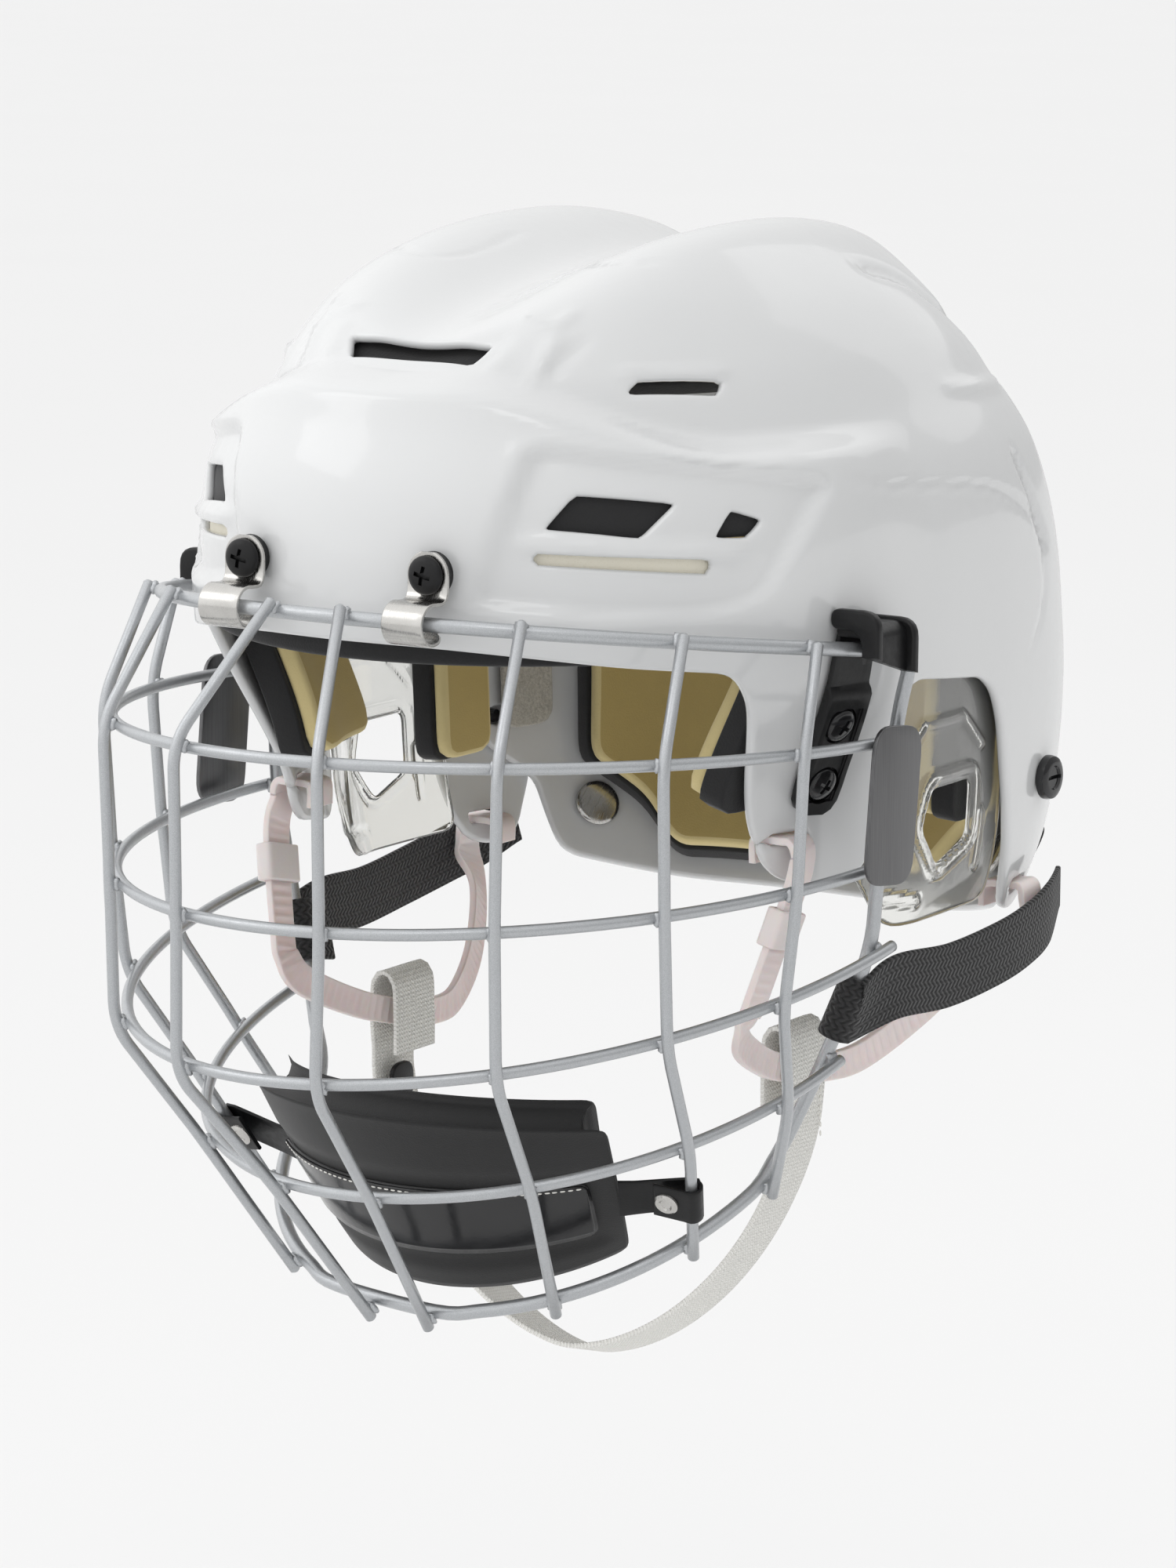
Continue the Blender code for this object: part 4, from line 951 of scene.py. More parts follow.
def outline_test(outline, radius):
    """Distance to a side outline (y, z), measured along the surface."""
    poly = np.array(round_corners(outline, radius))

    def test(p, n):
        flat = p.reshape(-1, 3)[:, 1:]
        d, away = polygon_reach(flat, poly)
        lean = np.abs(np.sum(away * n.reshape(-1, 3)[:, 1:], 1))
        return (d / np.sqrt(np.clip(1 - lean ** 2, 0.12, 1))).reshape(p.shape[:-1])
    return test


def opening_test(corners, radius=1.2):
    """Distance into an opening whose corners are (degrees, height), measured in the plane through them."""
    points = np.array([surface_at(d, h) for d, h in corners])
    centre = points.mean(0)
    right = unit(points[1] - points[0])
    out = unit(np.cross(right, points[2] - points[0]))
    axes = np.stack([right, np.cross(out, right)], 1)
    poly = np.array(round_corners((points - centre) @ axes, radius))
    reach = np.linalg.norm(points - centre, axis=1).max() + 12

    def test(p):
        offset = p.reshape(-1, 3) - centre
        near = np.where(np.linalg.norm(offset, axis=1) < reach)[0]
        result = np.full(len(offset), -99.0)
        if len(near):
            result[near] = polygon_distance(offset[near] @ axes, poly)
        return result.reshape(p.shape[:-1])
    return test


def make_front_shell():
    outline = outline_test(FRONT_OUTLINE, 5.0)
    vents = [opening_test(BROW_VENT)]
    for corners in SIDE_VENTS:
        vents += [opening_test(corners), opening_test([(-a, h) for a, h in corners])]
    slots = []
    for y, z in (LOOP_SLOT_FRONT, LOOP_SLOT_REAR):
        dy, dz = LOOP_SLOT_HALF
        box = [(y - dy, z - dz), (y + dy, z - dz), (y + dy, z + dz), (y - dy, z + dz)]
        slots.append(np.array(round_corners(box, 1.0)))

    def surface(u, level):
        p, n = shell_frame(u, level)
        u = (u + 180) % 360 - 180
        return p + n * relief(p, u, section(level)[..., 0])[..., None], n

    def inside(u, level, p, n):
        f = outline(p, n)
        for vent in vents:
            f = np.minimum(f, -vent(p))
        flat = p.reshape(-1, 3)[:, 1:]
        for slot in slots:
            d = polygon_distance(flat, slot)
            f = np.minimum(f, np.where(np.abs(p[..., 0]) > 50, -d.reshape(f.shape), 99))
        return f

    shell = trimmed_wall("helmet_front_shell", np.arange(-180, 180, 1.0), levels_by_arc(1.8), surface, inside,
                         SHELL_THICKNESS, EDGE_RADIUS, MAT["white_shell"], wrap=True)
    return place(shell, "helmet", "white_shell", "front_shell")


def make_rear_shell():
    outline = outline_test(REAR_OUTLINE, 5.0)
    y, z = SIZE_SCREW
    dy, dz = SIZE_SLOT_HALF
    slot = round_corners([(y - dy, z - dz), (y + SIZE_TRAVEL + dy, z - dz),
                          (y + SIZE_TRAVEL + dy, z + dz), (y - dy, z + dz)], 2.5)

    def surface(u, level):
        p, n = shell_frame(u, level)
        height = section(level)[..., 0]
        side = np.abs((u + 180) % 360 - 180)
        rise = 0.0
        for low, mid, amount in REAR_GROOVES:
            rise = rise + amount * ease(low, low + 12, side) * bell(height, mid + 0.12 * (180 - side), 3.0)
        return p - n * (REAR_INSET - rise)[..., None], n

    def inside(u, level, p, n):
        f = outline(p, n)
        d = polygon_distance(p.reshape(-1, 3)[:, 1:], np.array(slot))
        return np.minimum(f, -d.reshape(f.shape))

    shell = trimmed_wall("helmet_rear_shell", np.arange(-180, 180, 1.25), levels_by_arc(2.2), surface, inside,
                         SHELL_THICKNESS, EDGE_RADIUS, MAT["white_shell"], wrap=True)
    return place(shell, "rear_half", "white_shell", "rear_shell")


# ---------------------------------------------------------------- liner

def pad_wall(name, outline, depth, thickness, radius, materials, step=2.0):
    """Pad on the inside of the shell over an outline in (degrees, height)."""
    outline = np.array(outline, float)
    d, h = outline.mean(0)
    scale = np.array([
        np.linalg.norm(surface_at(d + 1, h, depth) - surface_at(d - 1, h, depth)) / 2,
        np.linalg.norm(surface_at(d, h + 1, depth) - surface_at(d, h - 1, depth)) / 2,
    ])
    poly = np.array(round_corners(outline * scale, 6.0))
    low, high = outline.min(0), outline.max(0)

    def surface(u, v):
        p, n = shell_frame(u, level_at(v))
        return p - n * depth, n

    us = np.linspace(low[0] - 1, high[0] + 1, max(int((high[0] - low[0] + 2) * scale[0] / step), 6))
    vs = np.linspace(low[1] - 1, high[1] + 1, max(int((high[1] - low[1] + 2) * scale[1] / step), 6))
    return trimmed_wall(name, us, vs, surface, patch_test(poly, scale), thickness, radius, materials)


def corner_degrees(y_range, z_range, depth, side):
    """Outline in (degrees, height) of a patch given by its y and z ranges."""
    (y0, y1), (z0, z1) = y_range, z_range
    out = []
    for y, z in ((y0, z0), (y1, z0), (y1, z1), (y0, z1)):
        out.append((side * degrees_at(y, z, depth), z))
    return out


def layered_pad(name, outline, depth, thickness, body, node, tan_share=0.4, inset=0.8):
    """Foam pad of two bonded layers: black against the shell and tan against the head."""
    black_t = thickness * (1 - tan_share) - 0.1
    black = pad_wall(f"{name}_black", outline, depth, black_t, 0.8, MAT["black_foam"])
    place(black, body, "black_foam", node)
    outline = np.array(outline, float)
    middle = outline.mean(0)
    shrink = 1 - inset / np.maximum(np.ptp(outline, axis=0) / 2 * np.array([1.8, 1.0]), 1)
    inner = middle + (outline - middle) * shrink
    tan = pad_wall(f"{name}_tan", inner, depth + black_t + 0.1, thickness * tan_share, 1.6,
                   [MAT["tan_edge"], MAT["tan_foam"], MAT["tan_edge"]])
    place(tan, body, "tan_foam", node)


def make_liner():
    brow = pad_wall("brow_foam_strip", BROW_PAD, BROW_PAD_DEPTH, 12.0, 1.5, MAT["black_foam"])
    place(brow, "helmet", "black_foam", "brow_foam")
    crown = pad_wall("crown_foam", CROWN_PAD, CROWN_PAD_DEPTH, 9.0, 2.0, MAT["black_foam"])
    place(crown, "helmet", "black_foam", "crown_pad")
    layered_pad("rear_foam", REAR_PAD, REAR_PAD_DEPTH, 12.0, "rear_half", "rear_pad")
    for label, side in both_sides():
        for part, span, heights, finish in VENT_PADS:
            corners = [(side * span[0], heights[0]), (side * span[1], heights[0]),
                       (side * (span[1] - 1), heights[1]), (side * (span[0] + 2), heights[1])]
            vent_pad = pad_wall(f"vent_foam_{part}_{label}", corners, VENT_PAD_DEPTH, 7.0, 1.5, MAT[finish])
            place(vent_pad, "helmet", "black_foam")
        temple = corner_degrees((-76, -34), (3, 46), TEMPLE_PAD_DEPTH, side)
        layered_pad(f"temple_foam_{label}", temple, TEMPLE_PAD_DEPTH, 14.0, "helmet", f"temple_pad_{label}")
        flank = corner_degrees((20, 45), (-12, 60), SIDE_PAD_DEPTH, side)
        layered_pad(f"side_foam_{label}", flank, SIDE_PAD_DEPTH, 12.0, "helmet", f"side_pad_{label}")
        nape = corner_degrees((62, 81), (-8, 60), PLUSH_DEPTH, side)
        plush = pad_wall(f"plush_{label}", nape, PLUSH_DEPTH, 2.0, 0.9, MAT["plush"], step=1.5)
        place(plush, "rear_half", "plush", f"plush_insert_{label}")


# ---------------------------------------------------------------- ear guards

def line_ridge(flat, line, width, rise):
    """Rounded ridge along a line of (y, z) points."""
    out = np.zeros(len(flat))
    for a, b in zip(line, line[1:]):
        a, b = np.array(a, float), np.array(b, float)
        t = np.clip(((flat - a) @ (b - a)) / ((b - a) @ (b - a)), 0, 1)
        d = np.linalg.norm(flat - a - t[:, None] * (b - a), axis=1)
        out = np.maximum(out, rise * np.exp(-(d / width) ** 4))
    return out


def make_ear_guards():
    hole = np.array(round_corners(EAR_HOLE, 3.0))
    edge = np.array(round_corners(EAR_OUTLINE, 7.0))
    for label, side in both_sides():
        low, high = (degrees_at(y, 0, EAR_GUARD_DEPTH) for y in (-34, 44))

        def surface(u, v, side=side):
            p, n = shell_frame(side * u, level_at(v))
            flat = p.reshape(-1, 3)[:, 1:]
            rim = polygon_distance(flat, hole)
            rise = 1.5 * np.exp(-((rim + 3.2) / 1.5) ** 4)
            for line in EAR_RIBS:
                rise = np.maximum(rise, line_ridge(flat, line, 1.3, 1.2))
            return p - n * (EAR_GUARD_DEPTH - rise.reshape(u.shape))[..., None], n

        def inside(u, v, p, n):
            flat = p.reshape(-1, 3)[:, 1:]
            return np.minimum(polygon_distance(flat, edge), -polygon_distance(flat, hole)).reshape(u.shape)

        guard = trimmed_wall(f"ear_guard_shell_{label}", np.linspace(low - 3, high + 3, 84),
                             np.linspace(-40, 45, 78), surface, inside, EAR_GUARD_SHEET, 0.7,
                             MAT["clear_plastic"])
        place(guard, "helmet", "clear_plastic", f"ear_guard_{label}")


# ---------------------------------------------------------------- cage

def ellipse_point(rail, degrees, outset=0.0):
    front_z, rise, width, reach, centre = rail
    a = np.radians(np.asarray(degrees, float))
    p = np.stack([width * np.sin(a), centre - reach * np.cos(a), front_z + rise * (1 - np.cos(a))], -1)
    out = unit(np.stack([np.sin(a) / width, -np.cos(a) / reach, 0 * a], -1))
    return p + out * outset


def upright_line(angles, top_overrun=1.4, overrun=3.0):
    """Centre line of an upright and its crossings with the rails: (point, out, along)."""
    rails = [FRAME_TOP] + BARS + [FRAME_BOTTOM]
    radii = [FRAME_R] + [WIRE_R] * len(BARS) + [FRAME_R]
    centres = [ellipse_point(rail, a) for rail, a in zip(rails, angles)]
    points, crossings = [], []
    for i, (rail, a, radius) in enumerate(zip(rails, angles, radii)):
        out = ellipse_point(rail, a, 1.0) - centres[i]
        along = unit(centres[min(i + 1, 5)] - centres[max(i - 1, 0)])
        out = unit(out - along * (out @ along))
        points.append(centres[i] + out * (radius + WIRE_R + GAP))
        crossings.append((centres[i] + out * (radius + GAP / 2), out, along))
    points[0] = points[0] + unit(points[0] - points[1]) * top_overrun
    points[-1] = points[-1] + unit(points[-1] - points[-2]) * overrun
    return np.array(round_corners(points, UPRIGHT_BEND, 8, cyclic=False, through=True)), crossings


def weld_bead(centre, out, along, seed):
    """Lumpy fillet in the corners where one wire lies across another."""
    rng = random.Random(seed)
    across = unit(np.cross(out, along))
    verts = []
    sides, rows = 14, 8
    wobble = [rng.uniform(0.9, 1.1) for _ in range(sides)]
    for i in range(rows + 1):
        polar = math.pi * i / rows
        for k in range(sides):
            a = 2 * math.pi * k / sides
            reach = (2.15 + 0.45 * math.cos(4 * a)) * wobble[k] * math.sin(polar) ** 0.8
            lift = 1.25 * math.cos(polar)
            verts.append(centre + (across * math.cos(a + 0.785) + along * math.sin(a + 0.785)) * reach
                         + out * lift)
    return verts, ring_faces(rows + 1, sides, caps=False)


def join_parts(name, parts, material):
    verts, faces, start = [], [], 0
    for v, f in parts:
        verts += list(v)
        faces += [[q + start for q in face] for face in f]
        start += len(v)
    return clean(new_object(name, verts, faces, material), 0.001)


def make_cage():
    half = [ellipse_point(FRAME_TOP, a) for a in range(0, 80, 8)]
    corner = [ellipse_point(FRAME_TOP, 80), (109.6, -33, 47.5)] + SIDE_RUN + [ellipse_point(FRAME_BOTTOM, 78)]
    half += round_corners(corner, 8, 5, cyclic=False, through=True)
    half += [ellipse_point(FRAME_BOTTOM, a) for a in range(68, -1, -10)]
    loop = half + [flip(p, -1) for p in half[-2:0:-1]]
    ring = smooth_line(loop, 2.5, cyclic=True)
    rail = tube("cage_ring", ring, FRAME_R, MAT["cage_paint"], cyclic=True)
    place(rail, "cage", "cage_paint", "cage_frame")
    beads = []
    for index, (bar, end) in enumerate(zip(BARS, BAR_END), start=1):
        line = ellipse_point(bar, np.linspace(-end, end, 150))
        wire = tube(f"cage_cross_wire_{index}", line, WIRE_R, MAT["cage_paint"], edge=0.7)
        place(wire, "cage", "cage_paint", f"cage_bar_{index}")
        for side in (1, -1):
            tip = ellipse_point(bar, side * (end - 1.5))
            near = ring[np.argmin(np.linalg.norm(ring - tip, axis=1))]
            gap = near - tip
            if np.linalg.norm(gap) < 6:
                along = np.array([0.0, 0.0, 1.0])
                out = unit(gap - along * gap[2])
                beads.append(weld_bead((near + tip) / 2, out, along, 100 + index * 2 + side))
    for index, angles in enumerate(UPRIGHT_ANGLES, start=1):
        line, crossings = upright_line(angles)
        for label, side in both_sides():
            wire = tube(f"cage_vertical_wire_{index}_{label}", flip(line, side), WIRE_R, MAT["cage_paint"],
                        edge=0.7)
            place(wire, "cage", "cage_paint", f"cage_upright_{index}_{label}")
            for k, (centre, out, along) in enumerate(crossings):
                beads.append(weld_bead(flip(centre, side), flip(out, side), flip(along, side),
                                       index * 50 + k + side))
    place(join_parts("cage_welds", beads, MAT["cage_paint"]), "cage", "cage_paint")


# ---------------------------------------------------------------- small hardware

def slab(name, outline, thickness, bevel, origin, axes, material, steps=3):
    """Flat plate with rounded edges: outline in the first two axes, thickness along the third."""
    outline = np.asarray(outline, float)
    axes = [unit(np.asarray(a, float)) for a in axes]
    edge = np.roll(outline, -1, 0) - outline
    normal = unit(np.stack([edge[:, 1], -edge[:, 0]], 1))
    normal = unit(normal + np.roll(normal, 1, 0))
    area = np.sum(outline[:, 0] * np.roll(outline[:, 1], -1) - np.roll(outline[:, 0], -1) * outline[:, 1])
    normal *= np.sign(area)
    rings = []
    for k in range(steps + 1):
        a = math.radians(90 * k / steps)
        rings.append((bevel * (1 - math.sin(a)), -thickness / 2 + bevel * (1 - math.cos(a))))
    rings += [(shrink, -h) for shrink, h in rings[::-1]]
    verts = []
    for shrink, h in rings:
        for q in outline - normal * shrink:
            verts.append(np.asarray(origin, float) + axes[0] * q[0] + axes[1] * q[1] + axes[2] * h)
    ob = clean(new_object(name, verts, ring_faces(len(rings), len(outline)), material), 0.001)
    sharpen(ob, 32)
    return ob


def rounded_rectangle(width, height, radius, steps=6):
    w, h = width / 2, height / 2
    return round_corners([(-w, -h), (w, -h), (w, h), (-w, h)], radius * 1.6, steps)


def dome_profile(radius, height, shank_radius, shank, lip=0.5):
    """Profile of a domed screw head with its shank."""
    out = [(0.0, height)]
    for k in range(1, 9):
        a = math.radians(90 * k / 8)
        out.append((radius * math.sin(a), lip + (height - lip) * math.cos(a) ** 0.8))
    out += [(radius, 0.2), (radius - 0.25, 0.0)]
    return out + [(shank_radius, 0.0), (shank_radius, -shank), (0, -shank)]


def cross_screw(name, base, out, radius, height, shank, material, arms=2.6, recess=1.3):
    """Domed screw with a cross recess in its head."""
    head = lathe(name, dome_profile(radius, height, 2.0, shank), base, out, material)
    out = unit(np.asarray(out, float))
    side = unit(np.cross(out, (0.2, 0.4, 0.89)))
    up = np.cross(out, side)
    centre = np.asarray(base, float) + out * (height - recess / 2 + 0.6)
    for long_axis, short_axis in ((side, up), (up, side)):
        cut_box(head, (arms * 2, 1.15, recess + 1.2), centre, (long_axis, short_axis, out), material)
    return head


def make_name_plates():
    for label, side in both_sides():
        turn = Matrix.Rotation(math.radians(-2 * side), 3, "Z") @ Matrix.Rotation(math.radians(-7), 3, "X")
        axes = [turn @ Vector(axis) for axis in ((0, 1, 0), (0, 0, 1), (1, 0, 0))]
        plate = slab(f"side_plate_{label}", rounded_rectangle(24, 44, 5), 1.4, 0.4, (113.6 * side, -49, 7.5),
                     axes, MAT["plate_metal"])
        place(plate, "cage", "plate_metal", f"name_plate_{label}")


def make_j_clips():
    eye = ellipse_point(FRAME_TOP, math.degrees(math.asin(J_CLIP_X / FRAME_TOP[2])))
    line, widths = [], []
    half = J_CLIP_WIDTH / 2
    for k in range(13):
        z = J_SCREW_Z + (half - 0.4) * math.cos(math.radians(90 * k / 12))
        line.append((J_PLATE_Y, z))
        widths.append(2 * math.sqrt(max(half ** 2 - (z - J_SCREW_Z) ** 2, 0.3)))
    bend = [(J_PLATE_Y, 74.5), (J_PLATE_Y - 0.1, 72.6), (J_PLATE_Y - 0.7, 71.0), (J_PLATE_Y - 1.8, 70.1),
            (J_PLATE_Y - 3, 69.9)]
    for degrees in range(75, 331, 9):
        a = math.radians(degrees)
        bend.append((eye[1] + J_CLIP_EYE * math.cos(a), eye[2] + J_CLIP_EYE * math.sin(a)))
    line += bend
    widths += [J_CLIP_WIDTH] * (len(bend) - 3) + [12.6, 11.6, 9.5]
    for label, side in both_sides():
        x = side * J_CLIP_X
        path = [(x, y, z) for y, z in line]
        clip = strip(f"brow_clip_{label}", path, (1, 0, 0), widths, J_CLIP_SHEET, MAT["steel"], 0.3)
        sharpen(clip)
        place(clip, "helmet", "steel", f"j_clip_{label}")
        centre = np.array([x, J_PLATE_Y, J_SCREW_Z])
        base = centre - np.array([0, J_CLIP_SHEET / 2 + GAP, 0])
        screw = cross_screw(f"brow_screw_{label}", base, (0, -1, 0), 5.3, 2.6, 12.5, MAT["black_plastic"])
        place(screw, "helmet", "black_plastic", f"j_screw_{label}")
        start = centre + np.array([0, J_CLIP_SHEET / 2 + GAP, 0])
        collar = lathe(f"brow_spacer_{label}", SPACER_PROFILE, start, (0, 1, 0), MAT["black_plastic"])
        place(collar, "helmet", "black_plastic", f"j_spacer_{label}")


def make_side_clips():
    """Moulded temple clips: a screwed-down plate with raised borders, and a saddle over the rail's end."""
    line = smooth_line([(z, y) for z, y, _ in CLIP_RUN], 1.0)
    order = np.array([(z, w) for z, _, w in CLIP_RUN])[::-1]
    for label, side in both_sides():
        path, across, widths, thick = [], [], [], []
        for z, y in line:
            a = degrees_at(y, z)
            thickness = 1.6 + 2.0 * (1 - float(ease(38.5, 41.5, z)))
            path.append(flip(surface_at(a, z, -(GAP + 0.4 + thickness / 2)), side))
            across.append(flip(unit(surface_at(a + 2, z) - surface_at(a - 2, z)), side))
            widths.append(float(np.interp(z, order[:, 0], order[:, 1])))
            thick.append(thickness)
        body = strip("clip_body", path, across, widths, thick, MAT["black_plastic"], 0.7)
        hood = round_corners(CLIP_HOOD, 1.8, 4)
        cover = slab("hood", [(x * side, z) for x, z in hood], 20, 0.7, (0, -53.2, 0),
                     ((1, 0, 0), (0, 0, 1), (0, 1, 0)), MAT["black_plastic"])
        carve(body, cover, "UNION")
        for y, crown, sill, width in CLIP_FLANGES:
            flange = round_corners([(102.5, sill), (111.9, sill), (112.6, 41.5), (117.4, 41.5),
                                    (117.6, crown), (102.5, crown)], 5.6, 5)
            rim = slab("rim", [(x * side, z) for x, z in flange], width, 0.9, (0, y, 0),
                       ((1, 0, 0), (0, 0, 1), (0, 1, 0)), MAT["black_plastic"])
            carve(body, rim, "UNION")
        wedge = slab("wedge", CLIP_SLOPE, 6, 0.1, (115.3 * side, 0, 0), ((0, 1, 0), (0, 0, 1), (1, 0, 0)),
                     MAT["black_plastic"])
        carve(body, wedge)
        low, high = np.argmin(np.abs(line[:, 0] - 35)), np.argmin(np.abs(line[:, 0] - 7))
        lifted = np.array([p + unit(flip(shell_frame(degrees_at(y, z), level_at(z))[1], side)) * 1.9
                           for p, (z, y) in zip(path[low:high], line[low:high])])
        recess = strip("recess", lifted, across[low:high], np.array(widths[low:high]) - 4.6, 1.8,
                       MAT["black_plastic"], 0.4)
        carve(body, recess)
        for name, (y, z) in CLIP_SCREWS.items():
            a = degrees_at(y, z)
            at, out = flip(surface_at(a, z), side), flip(shell_frame(a, level_at(z))[1], side)
            carve(body, lathe("pocket", POCKET_PROFILE, at, out, MAT["black_plastic"]))
            screw = cross_screw(f"temple_screw_{name}_{label}", at + out * 2.7, out, 5.0, 2.4, 7.4,
                                MAT["black_gloss"], 2.3, 1.2)
            place(screw, "helmet", "black_plastic", f"clip_screw_{name}_{label}")
        body.name = f"temple_clip_{label}"
        sharpen(body)
        place(body, "helmet", "black_plastic", f"side_clip_{label}")


def make_size_plugs():
    y, z = SIZE_SCREW
    for label, side in both_sides():
        base = flip(surface_at(degrees_at(y, z), z), side) + np.array([side * (GAP + 1.0), 0, 0])
        plug = lathe(f"size_plug_{label}", PLUG_PROFILE, base, (side, 0, 0), MAT["black_gloss"])
        cut_box(plug, (2.2, 7.6, 1.1), base + np.array([side * 2.4, 0, 0]), np.eye(3), MAT["black_gloss"])
        place(plug, "helmet", "black_plastic", f"size_screw_{label}")


def make_rear_buckles():
    y, z = BUCKLE_PLACE
    a = degrees_at(y, z, REAR_INSET)
    surface = surface_at(a, z, REAR_INSET)
    out = unit(surface_at(a, z, REAR_INSET - 1) - surface)
    for label, side in both_sides():
        normal, at = flip(out, side), flip(surface, side)
        wide = unit(np.cross((0, 0, 1), normal))
        up = np.cross(normal, wide)
        plate = slab(f"strap_plate_{label}", rounded_rectangle(18, 26, 3.5), 2.6, 0.7, at + normal * 2.3,
                     (wide, up, normal), MAT["black_plastic"])
        bore = lathe("bore", [(0, 12), (3.0, 12), (3.0, -12), (0, -12)], at - normal * 10.1, normal,
                     MAT["black_plastic"])
        carve(plate, bore)
        sharpen(plate)
        place(plate, "rear_half", "black_plastic", f"rear_buckle_{label}")
        nut = lathe(f"strap_nut_{label}", NUT_PROFILE, at - normal * (SHELL_THICKNESS + 1.4), -normal,
                    MAT["steel"])
        place(nut, "rear_half", "steel", f"tee_nut_{label}")


# ---------------------------------------------------------------- ear loops and straps

def loop_line():
    """Mid-line of the left ear loop with the direction of its width at each point."""
    fy, fz = LOOP_SLOT_FRONT
    ry, rz = LOOP_SLOT_REAR
    front = surface_at(degrees_at(fy, fz), fz)[0]
    rear = surface_at(degrees_at(ry, rz), rz)[0]
    points = np.array([
        (front - 9, fy, fz - 7), (front - 9, fy, fz - 1.5), (front - 7.5, fy, fz), (front, fy, fz),
        (front + 2.4, fy, fz), (front + 4, fy, fz - 2), (front + 4.2, fy, fz - 6),
        (front + 3.4, fy - 4.5, fz - 16), (80.5, -66, -48), (78, -67, -54.5), (74.5, -63.5, -61.5),
        (70, -43, -71.5), (67.5, -24, -77), (68, -6, -80), (71, 9, -79), (77.5, 28, -70), (87, 45, -56),
        (rear + 3.6, ry - 1, rz - 12), (rear + 4.2, ry, rz - 3), (rear + 3, ry, rz), (rear, ry, rz),
        (rear - 7, ry, rz), (rear - 9, ry, rz - 2), (rear - 9, ry, rz - 7),
    ])
    across = []
    for i in range(len(points)):
        along = points[min(i + 1, len(points) - 1)] - points[max(i - 1, 0)]
        if i < 8:
            across.append((0, 1, 0))
        elif i > len(points) - 8:
            across.append((0, -1, 0))
        else:
            across.append(unit(np.cross((1, 0, 0), (0, along[1], along[2]))))
    return points, np.array(across, float)


def make_ear_loops():
    points, across = loop_line()
    sizes = LOOP_WIDTH - 2.5 * bell(np.arange(len(points)), 12, 3.0)
    spine = smooth_line(np.hstack([points, across, sizes[:, None]]), 0.55)
    path, wide, widths = spine[:, :3], spine[:, 3:6], spine[:, 6]
    reach = arc_length(path)
    ribs = 1 - np.clip(np.abs(((reach + 1.5) % 3.0) - 1.5) / 0.45 - 0.7, 0, 1)
    plain = (reach < 32) | (reach > reach[-1] - 26)
    ribs = np.where(plain, 1.0, ribs)
    for label, side in both_sides():
        loop = strip(f"ear_loop_strap_{label}", flip(path, side), flip(wide, side), widths, LOOP_SHEET,
                     MAT["pink_plastic"], 0.45)
        recess_middle(loop, len(path), ribs, widths, 0.5)
        place(loop, "helmet", "pink_plastic", f"ear_loop_{label}")
    top, end = points[7], points[8]
    along = unit(end - top)
    start = top + along * 3
    thin = unit(np.cross(along, (0, 1, 0)))
    wide = np.cross(thin, along)
    outer_w, outer_t, bore = LOOP_WIDTH + 4, LOOP_SHEET + 3.6, 0.9
    for label, side in both_sides():
        centre = flip(start + along * 5.5, side)
        axes = [flip(a, side) for a in (wide, thin, along)]
        sleeve = slab(f"loop_keeper_{label}", round_corners(
            [(-outer_w / 2, -outer_t / 2), (outer_w / 2, -outer_t / 2), (outer_w / 2, outer_t / 2),
             (-outer_w / 2, outer_t / 2)], 1.8, 4), 11.0, 0.6, centre, axes, MAT["pink_plastic"])
        cut_box(sleeve, (LOOP_WIDTH + bore, LOOP_SHEET + bore, 20), centre, axes, MAT["pink_plastic"])
        place(sleeve, f"loop_sleeve_{label}", "pink_plastic", f"loop_sleeve_{label}")


def recess_middle(ob, stations, factor, widths, depth):
    """Lowers both broad faces of a strip between its borders, where the factor is below one."""
    size = len(ob.data.vertices) // stations
    ring = rounded_section(float(widths[0]), LOOP_SHEET, 0.45)
    co = np.zeros(len(ob.data.vertices) * 3)
    ob.data.vertices.foreach_get("co", co)
    co = co.reshape(stations, size, 3)
    middle = np.abs(ring[:, 0]) < widths[0] / 2 - LOOP_BORDER
    upper, lower = middle & (ring[:, 1] > 0), middle & (ring[:, 1] < 0)
    for i in range(stations):
        thin = unit(co[i][upper].mean(0) - co[i][lower].mean(0))
        drop = thin * (depth * MM * (1 - factor[i]))
        co[i][upper] -= drop
        co[i][lower] += drop
    ob.data.vertices.foreach_set("co", co.ravel())
    ob.data.update()


